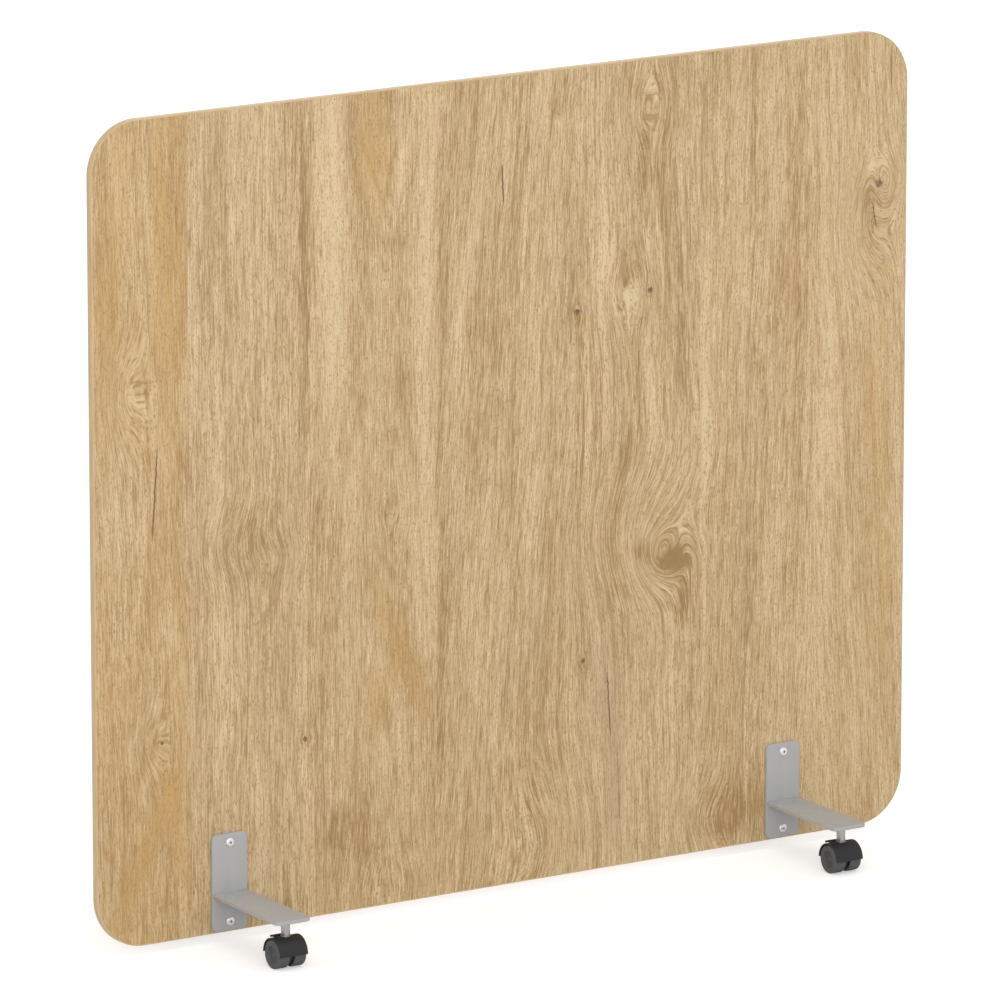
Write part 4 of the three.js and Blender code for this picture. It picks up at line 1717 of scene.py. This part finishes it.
    def _wheel(self, side: Side) -> bpy.types.Object:
        """Returns a wheel with its tread, recess and hub cap."""
        radius = self.wheel_radius
        width = self.wheel_width
        floor = width - self.recess_depth
        bore = self.axle_radius + self.running_gap
        arc = [
            (
                radius - self.tread_edge * (1 - math.cos(turn)),
                width - self.tread_edge * (1 - math.sin(turn)),
            )
            for turn in (math.radians(degrees) for degrees in range(0, 91, 15))
        ]
        ring = (radius - self.tread_edge + self.recess_radius) / 2
        groove = self.ring_groove
        profile = (
            (bore, floor - self.axle_cover),
            (bore, 0),
            (self.hub, 0),
            (self.hub, floor - self.disc),
            (radius - self.rim, floor - self.disc),
            (radius - self.rim, 0),
            (radius - self.tread_chamfer, 0),
            (radius, self.tread_chamfer),
            *arc,
            (ring + groove, width),
            (ring, width - groove),
            (ring - groove, width),
            (self.recess_radius, width),
            (self.recess_radius - self.recess_taper, floor),
            (self.hub_cap + self.recess_taper, floor),
            (self.hub_cap, floor + self.hub_cap_height * 0.7),
            (self.hub_cap - self.recess_taper, floor + self.hub_cap_height),
        )
        foot = self.axle_point + Vector((self.wheel_gap / 2, 0, 0))
        wheel = turned("wheel", profile, Axis.X, foot, 112)
        ease_edges(wheel, mm(0.3), 2)
        if side is Side.LEFT:
            put(wheel, Matrix.Rotation(math.pi, 4, "Z"))
        return wheel

    def _axle(self) -> bpy.types.Object:
        """Returns the axle rod."""
        length = near_swivel("axle").size.x
        axle = self._rod(self.axle_radius, length, self.axle_point)
        ease_edges(axle, mm(0.3), 2)
        return axle

    def _stem(self) -> bpy.types.Object:
        """Returns the stem with its pin below the shoulder."""
        extent = near_swivel("stem")
        shoulder = 2 * self.wheel_radius + self.stem_above_wheel
        ring = near_swivel("grip_ring")
        groove = self.stem_radius - mm(0.8)
        profile = (
            (self.pin_radius, extent.low.z),
            (self.pin_radius, shoulder),
            (self.stem_radius, shoulder),
            (self.stem_radius, ring.low.z - self.running_gap),
            (groove, ring.low.z - self.running_gap),
            (groove, ring.high.z + self.running_gap),
            (self.stem_radius, ring.high.z + self.running_gap),
            (self.stem_radius, extent.high.z),
        )
        stem = turned("stem", profile, Axis.Z, Vector(), ROUND_SIDES)
        ease_edges(stem, mm(0.3), 2)
        return stem

    def _washer(self) -> bpy.types.Object:
        """Returns the thrust washer under the sleeve."""
        inner = self.stem_radius + self.running_gap
        return tube("thrust_washer", near_swivel("thrust_washer"), inner, mm(0.25), 2)

    def _half_shell(self, width: float) -> bpy.types.Object:
        """Returns the hood's shell: half a cylinder with a wall and eased edges."""
        shell = self._rod(self.hood_outer, width, self.axle_point, FINE_SIDES)
        with editing(shell, "FACE"):
            bpy.ops.mesh.select_all(action="SELECT")
            bpy.ops.mesh.bisect(plane_co=self.axle_point, plane_no=(0, 0, 1), clear_inner=True)
            pick_faces(shell, lambda face: abs(face.normal.x) > 0.9)
            bpy.ops.mesh.delete(type="ONLY_FACE")
        wall = shell.modifiers.new("wall", "SOLIDIFY")
        wall.thickness = self.hood_wall
        wall.offset = -1
        take(shell)
        bpy.ops.object.modifier_apply(modifier=wall.name)
        ease_edges(shell, self.moulded_edge)
        return shell

    def _hood(self) -> bpy.types.Object:
        """Returns the hood: shell, web, column, boss and ears, with the room that others need."""
        extent = near_swivel("hood")
        hood = self._half_shell(extent.size.x)
        web_width = self.wheel_gap - 2 * self.web_side_gap
        web = self._rod(self.web_radius, web_width, self.axle_point, 80)
        ease_edges(web, self.moulded_edge)
        combine(hood, web, Cut.JOIN)
        top = self.axle_point.z + self.hood_outer
        half = Vector((web_width, self.column_depth, 0)) / 2
        column = Extent(
            self.axle_point - half, Vector((half.x, half.y, top - self.hood_wall / 2))
        )
        combine(hood, block("column", column), Cut.JOIN)
        boss_foot = top - self.hood_wall + mm(0.2)
        boss_top = top + self.boss_rise
        boss_profile = (
            (self.boss_radius, boss_foot),
            (self.boss_radius, boss_top - self.moulded_edge),
            (self.boss_radius - self.moulded_edge / 3, boss_top - self.moulded_edge / 3),
            (self.boss_radius - self.moulded_edge, boss_top),
        )
        combine(hood, turned("boss", boss_profile, Axis.Z, Vector(), 64), Cut.JOIN)
        for side in Side:
            combine(hood, self._ear(side), Cut.JOIN)
        for cutter in self._hood_cutters(boss_top):
            combine(hood, cutter, Cut.TAKE_AWAY)
        return hood

    def _ear(self, side: Side) -> bpy.types.Object:
        """Returns one of the two ears that the pedal is hinged on."""
        radius = self.knuckle + self.running_gap
        aside = side.value * (self.pedal_width / 2 + self.running_gap + self.ear_thickness / 2)
        middle = self.pivot + Vector((aside, 0, 0))
        ear = self._rod(radius, self.ear_thickness, middle, SMALL_SIDES)
        half = Vector((self.ear_thickness / 2, radius, 0))
        leg = Extent(middle - half - Vector((0, 0, self.ear_height)), middle + half)
        combine(ear, block("leg", leg), Cut.JOIN)
        reach = self.hood_inner + self.hood_wall / 2
        away = self._rod(reach, self.hood_outer * 2, self.axle_point, FINE_SIDES)
        combine(ear, away, Cut.TAKE_AWAY)
        return ear

    def _tread_block(
        self, width: float, inner: float, outer: float, before: float, after: float
    ) -> bpy.types.Object:
        """Returns a block that stands on the tread at the shoe's angle."""
        low = Vector((-width / 2, inner, -before))
        high = Vector((width / 2, outer, after))
        tread_block = block("tread_block", Extent(low, high))
        turn = Matrix.Rotation(math.radians(self.shoe_angle), 4, "X")
        put(tread_block, Matrix.Translation(self.axle_point) @ turn)
        return tread_block

    def _hood_cutters(self, boss_top: float) -> Iterator[bpy.types.Object]:
        """Makes the solids that clear the hood for the stem, axle, pedal and shoe."""
        gap = self.running_gap
        above = boss_top + mm(1)
        shoulder = 2 * self.wheel_radius + self.stem_above_wheel
        pin_end = shoulder - self.pin_length - gap
        stem = ((self.stem_radius + gap, shoulder - gap), (self.stem_radius + gap, above))
        yield turned("stem_bore", stem, Axis.Z, Vector(), ROUND_SIDES)
        pin = ((self.pin_radius + gap, pin_end), (self.pin_radius + gap, above))
        yield turned("pin_bore", pin, Axis.Z, Vector(), SMALL_SIDES)
        yield self._rod(self.axle_radius + gap, self.wheel_gap, self.axle_point)
        ears = self.pedal_width + 2 * (gap + self.ear_thickness + mm(1))
        yield self._rod(self.trunnion + gap, ears, self.pivot, 32)
        yield self._rod(self.knuckle + gap, self.pedal_width + 2 * gap, self.pivot, SMALL_SIDES)
        half = self.shoe_thickness / 2 + gap
        yield self._tread_block(
            self.shoe_width + 2 * gap, self.hood_inner - mm(1), self.hood_outer + mm(1),
            half, half + self.shoe_room,
        )

    def _pedal(self) -> bpy.types.Object:
        """Returns the brake pedal with its knuckle, trunnions and shoe."""
        top = self.knuckle - self.running_gap
        half = self.pedal_width / 2
        plate_extent = Extent(
            Vector((-half, 0, top - self.pedal_thickness)), Vector((half, self.pedal_length, top))
        )
        plate = block("brake_pedal", plate_extent)

        def free_corner(edge: bmesh.types.BMEdge) -> bool:
            """Returns whether an upright edge lies at the pedal's free end."""
            return abs(edge_direction(edge).z) > 0.9 and edge_middle(edge).y > mm(5)

        round_corners(plate, free_corner, self.pedal_corner, 6)
        ease_edges(plate, mm(0.6))
        slope = Matrix.Rotation(-math.radians(self.pedal_slope), 4, "X")
        put(plate, Matrix.Translation(self.pivot) @ slope)
        combine(plate, self._rod(self.knuckle, self.pedal_width, self.pivot, SMALL_SIDES), Cut.JOIN)
        across = self.pedal_width + 2 * self.trunnion_length
        combine(plate, self._rod(self.trunnion, across, self.pivot, 32), Cut.JOIN)
        reach = (self.pivot - self.axle_point).length + top
        shoe = self._tread_block(
            self.shoe_width, self.wheel_radius + self.shoe_over_wheel, reach,
            self.shoe_thickness / 2, self.shoe_thickness / 2,
        )
        combine(plate, shoe, Cut.JOIN)
        return plate


# ---------------------------------------------------------------------------------- studio


@dataclass(frozen=True)
class Lamp:
    """A square soft lamp that looks at the board's middle.

    Attributes:
        name: Its name.
        place: Where it hangs.
        power: Its power in watts.
        size: Length of its side.
    """

    name: str
    place: tuple[float, float, float]
    power: float
    size: float = 4.0

    def build(self, aim: Vector) -> None:
        """Adds the lamp and turns it to a point."""
        data = bpy.data.lights.new(self.name, "AREA")
        data.size = self.size
        data.energy = self.power
        lamp = bpy.data.objects.new(self.name, data)
        lamp.location = self.place
        lamp.rotation_euler = (aim - lamp.location).to_track_quat("-Z", "Y").to_euler()
        bpy.context.scene.collection.objects.link(lamp)


@dataclass(frozen=True)
class Studio:
    """A pale floor, soft light and the camera of the reference view.

    Attributes:
        camera: Where the camera stands.
        azimuth: Its direction from +Y towards +X, in degrees.
        elevation: Its direction above the horizon, in degrees.
        lens: Its focal length in millimetres, on a sensor 36 wide.
        sensor: Width of the sensor in millimetres.
        floor_size: Length of the floor's side.
        floor_glow: How much the camera sees the floor shine.
        world_light: Strength of the even light from all round.
        lit_height: Height of the board's middle, which the lamps look at.
        lamps: The soft lamps.
    """

    camera: tuple[float, float, float] = (-7.35337, -11.60697, 3.82495)
    azimuth: float = 32.3143
    elevation: float = -13.3139
    lens: float = 360.722
    sensor: float = 36.0
    floor_size: float = 120.0
    floor_glow: float = 0.4
    world_light: float = 0.9
    lit_height: float = 0.6
    lamps: tuple[Lamp, ...] = (
        Lamp("key", (-5.0, -8.0, 3.5), 230.0),
        Lamp("rear_fill", (5.0, 8.0, 4.0), 150.0),
        Lamp("top", (-1.0, -2.5, 6.0), 62.0),
    )

    def build(self) -> None:
        """Makes the floor, the lights and the camera."""
        self._floor()
        self._world()
        for lamp in self.lamps:
            lamp.build(Vector((0, 0, self.lit_height)))
        self._camera()

    def _floor(self) -> None:
        """Makes the floor, which shows white and keeps the object's shadow."""
        bpy.ops.mesh.primitive_plane_add(size=self.floor_size)
        floor = settle(bpy.context.object, "studio_floor")
        material, graph, shader = new_material("studio_floor")
        shader.inputs["Base Color"].default_value = srgb(235, 235, 235)
        shader.inputs["Roughness"].default_value = 0.9
        shader.inputs["Specular IOR Level"].default_value = 0.0
        glow = graph.node("ShaderNodeLightPath").outputs["Is Camera Ray"]
        shader.inputs["Emission Color"].default_value = (1, 1, 1, 1)
        graph.feed(shader.inputs["Emission Strength"], graph.times(glow, self.floor_glow))
        dress(floor, material)

    def _world(self) -> None:
        """Lights the studio evenly, with a white background for the camera."""
        world = bpy.data.worlds.new("studio")
        world.use_nodes = True
        graph = Graph(world.node_tree)
        background = graph.node("ShaderNodeBackground")
        output = graph.node("ShaderNodeOutputWorld")
        path = graph.node("ShaderNodeLightPath")
        seen = graph.math("MAXIMUM", path.outputs["Is Camera Ray"], path.outputs["Is Glossy Ray"])
        strength = graph.scaled(seen, 1 - self.world_light, self.world_light)
        graph.feed(background.inputs["Strength"], strength)
        graph.feed(output.inputs["Surface"], background.outputs["Background"])
        bpy.context.scene.world = world

    def _camera(self) -> None:
        """Places the camera at the reference view."""
        data = bpy.data.cameras.new("camera")
        data.lens = self.lens
        data.sensor_width = self.sensor
        camera = bpy.data.objects.new("camera", data)
        camera.location = self.camera
        across = math.radians(self.azimuth)
        up = math.radians(self.elevation)
        look = Vector((math.sin(across) * math.cos(up), math.cos(across) * math.cos(up), math.sin(up)))
        camera.rotation_euler = look.to_track_quat("-Z", "Y").to_euler()
        bpy.context.scene.collection.objects.link(camera)
        bpy.context.scene.camera = camera


def main() -> None:
    """Builds the partition's looks around the frame."""
    logging.basicConfig(level=logging.INFO, format="%(name)s: %(message)s")
    bpy.context.scene.view_settings.view_transform = "Standard"
    finishes = Finishes()
    Board(finishes).build()
    Brackets(finishes).build()
    Fasteners(finishes).build()
    Casters(finishes).build()
    Studio().build()


if __name__ == "__main__":
    main()
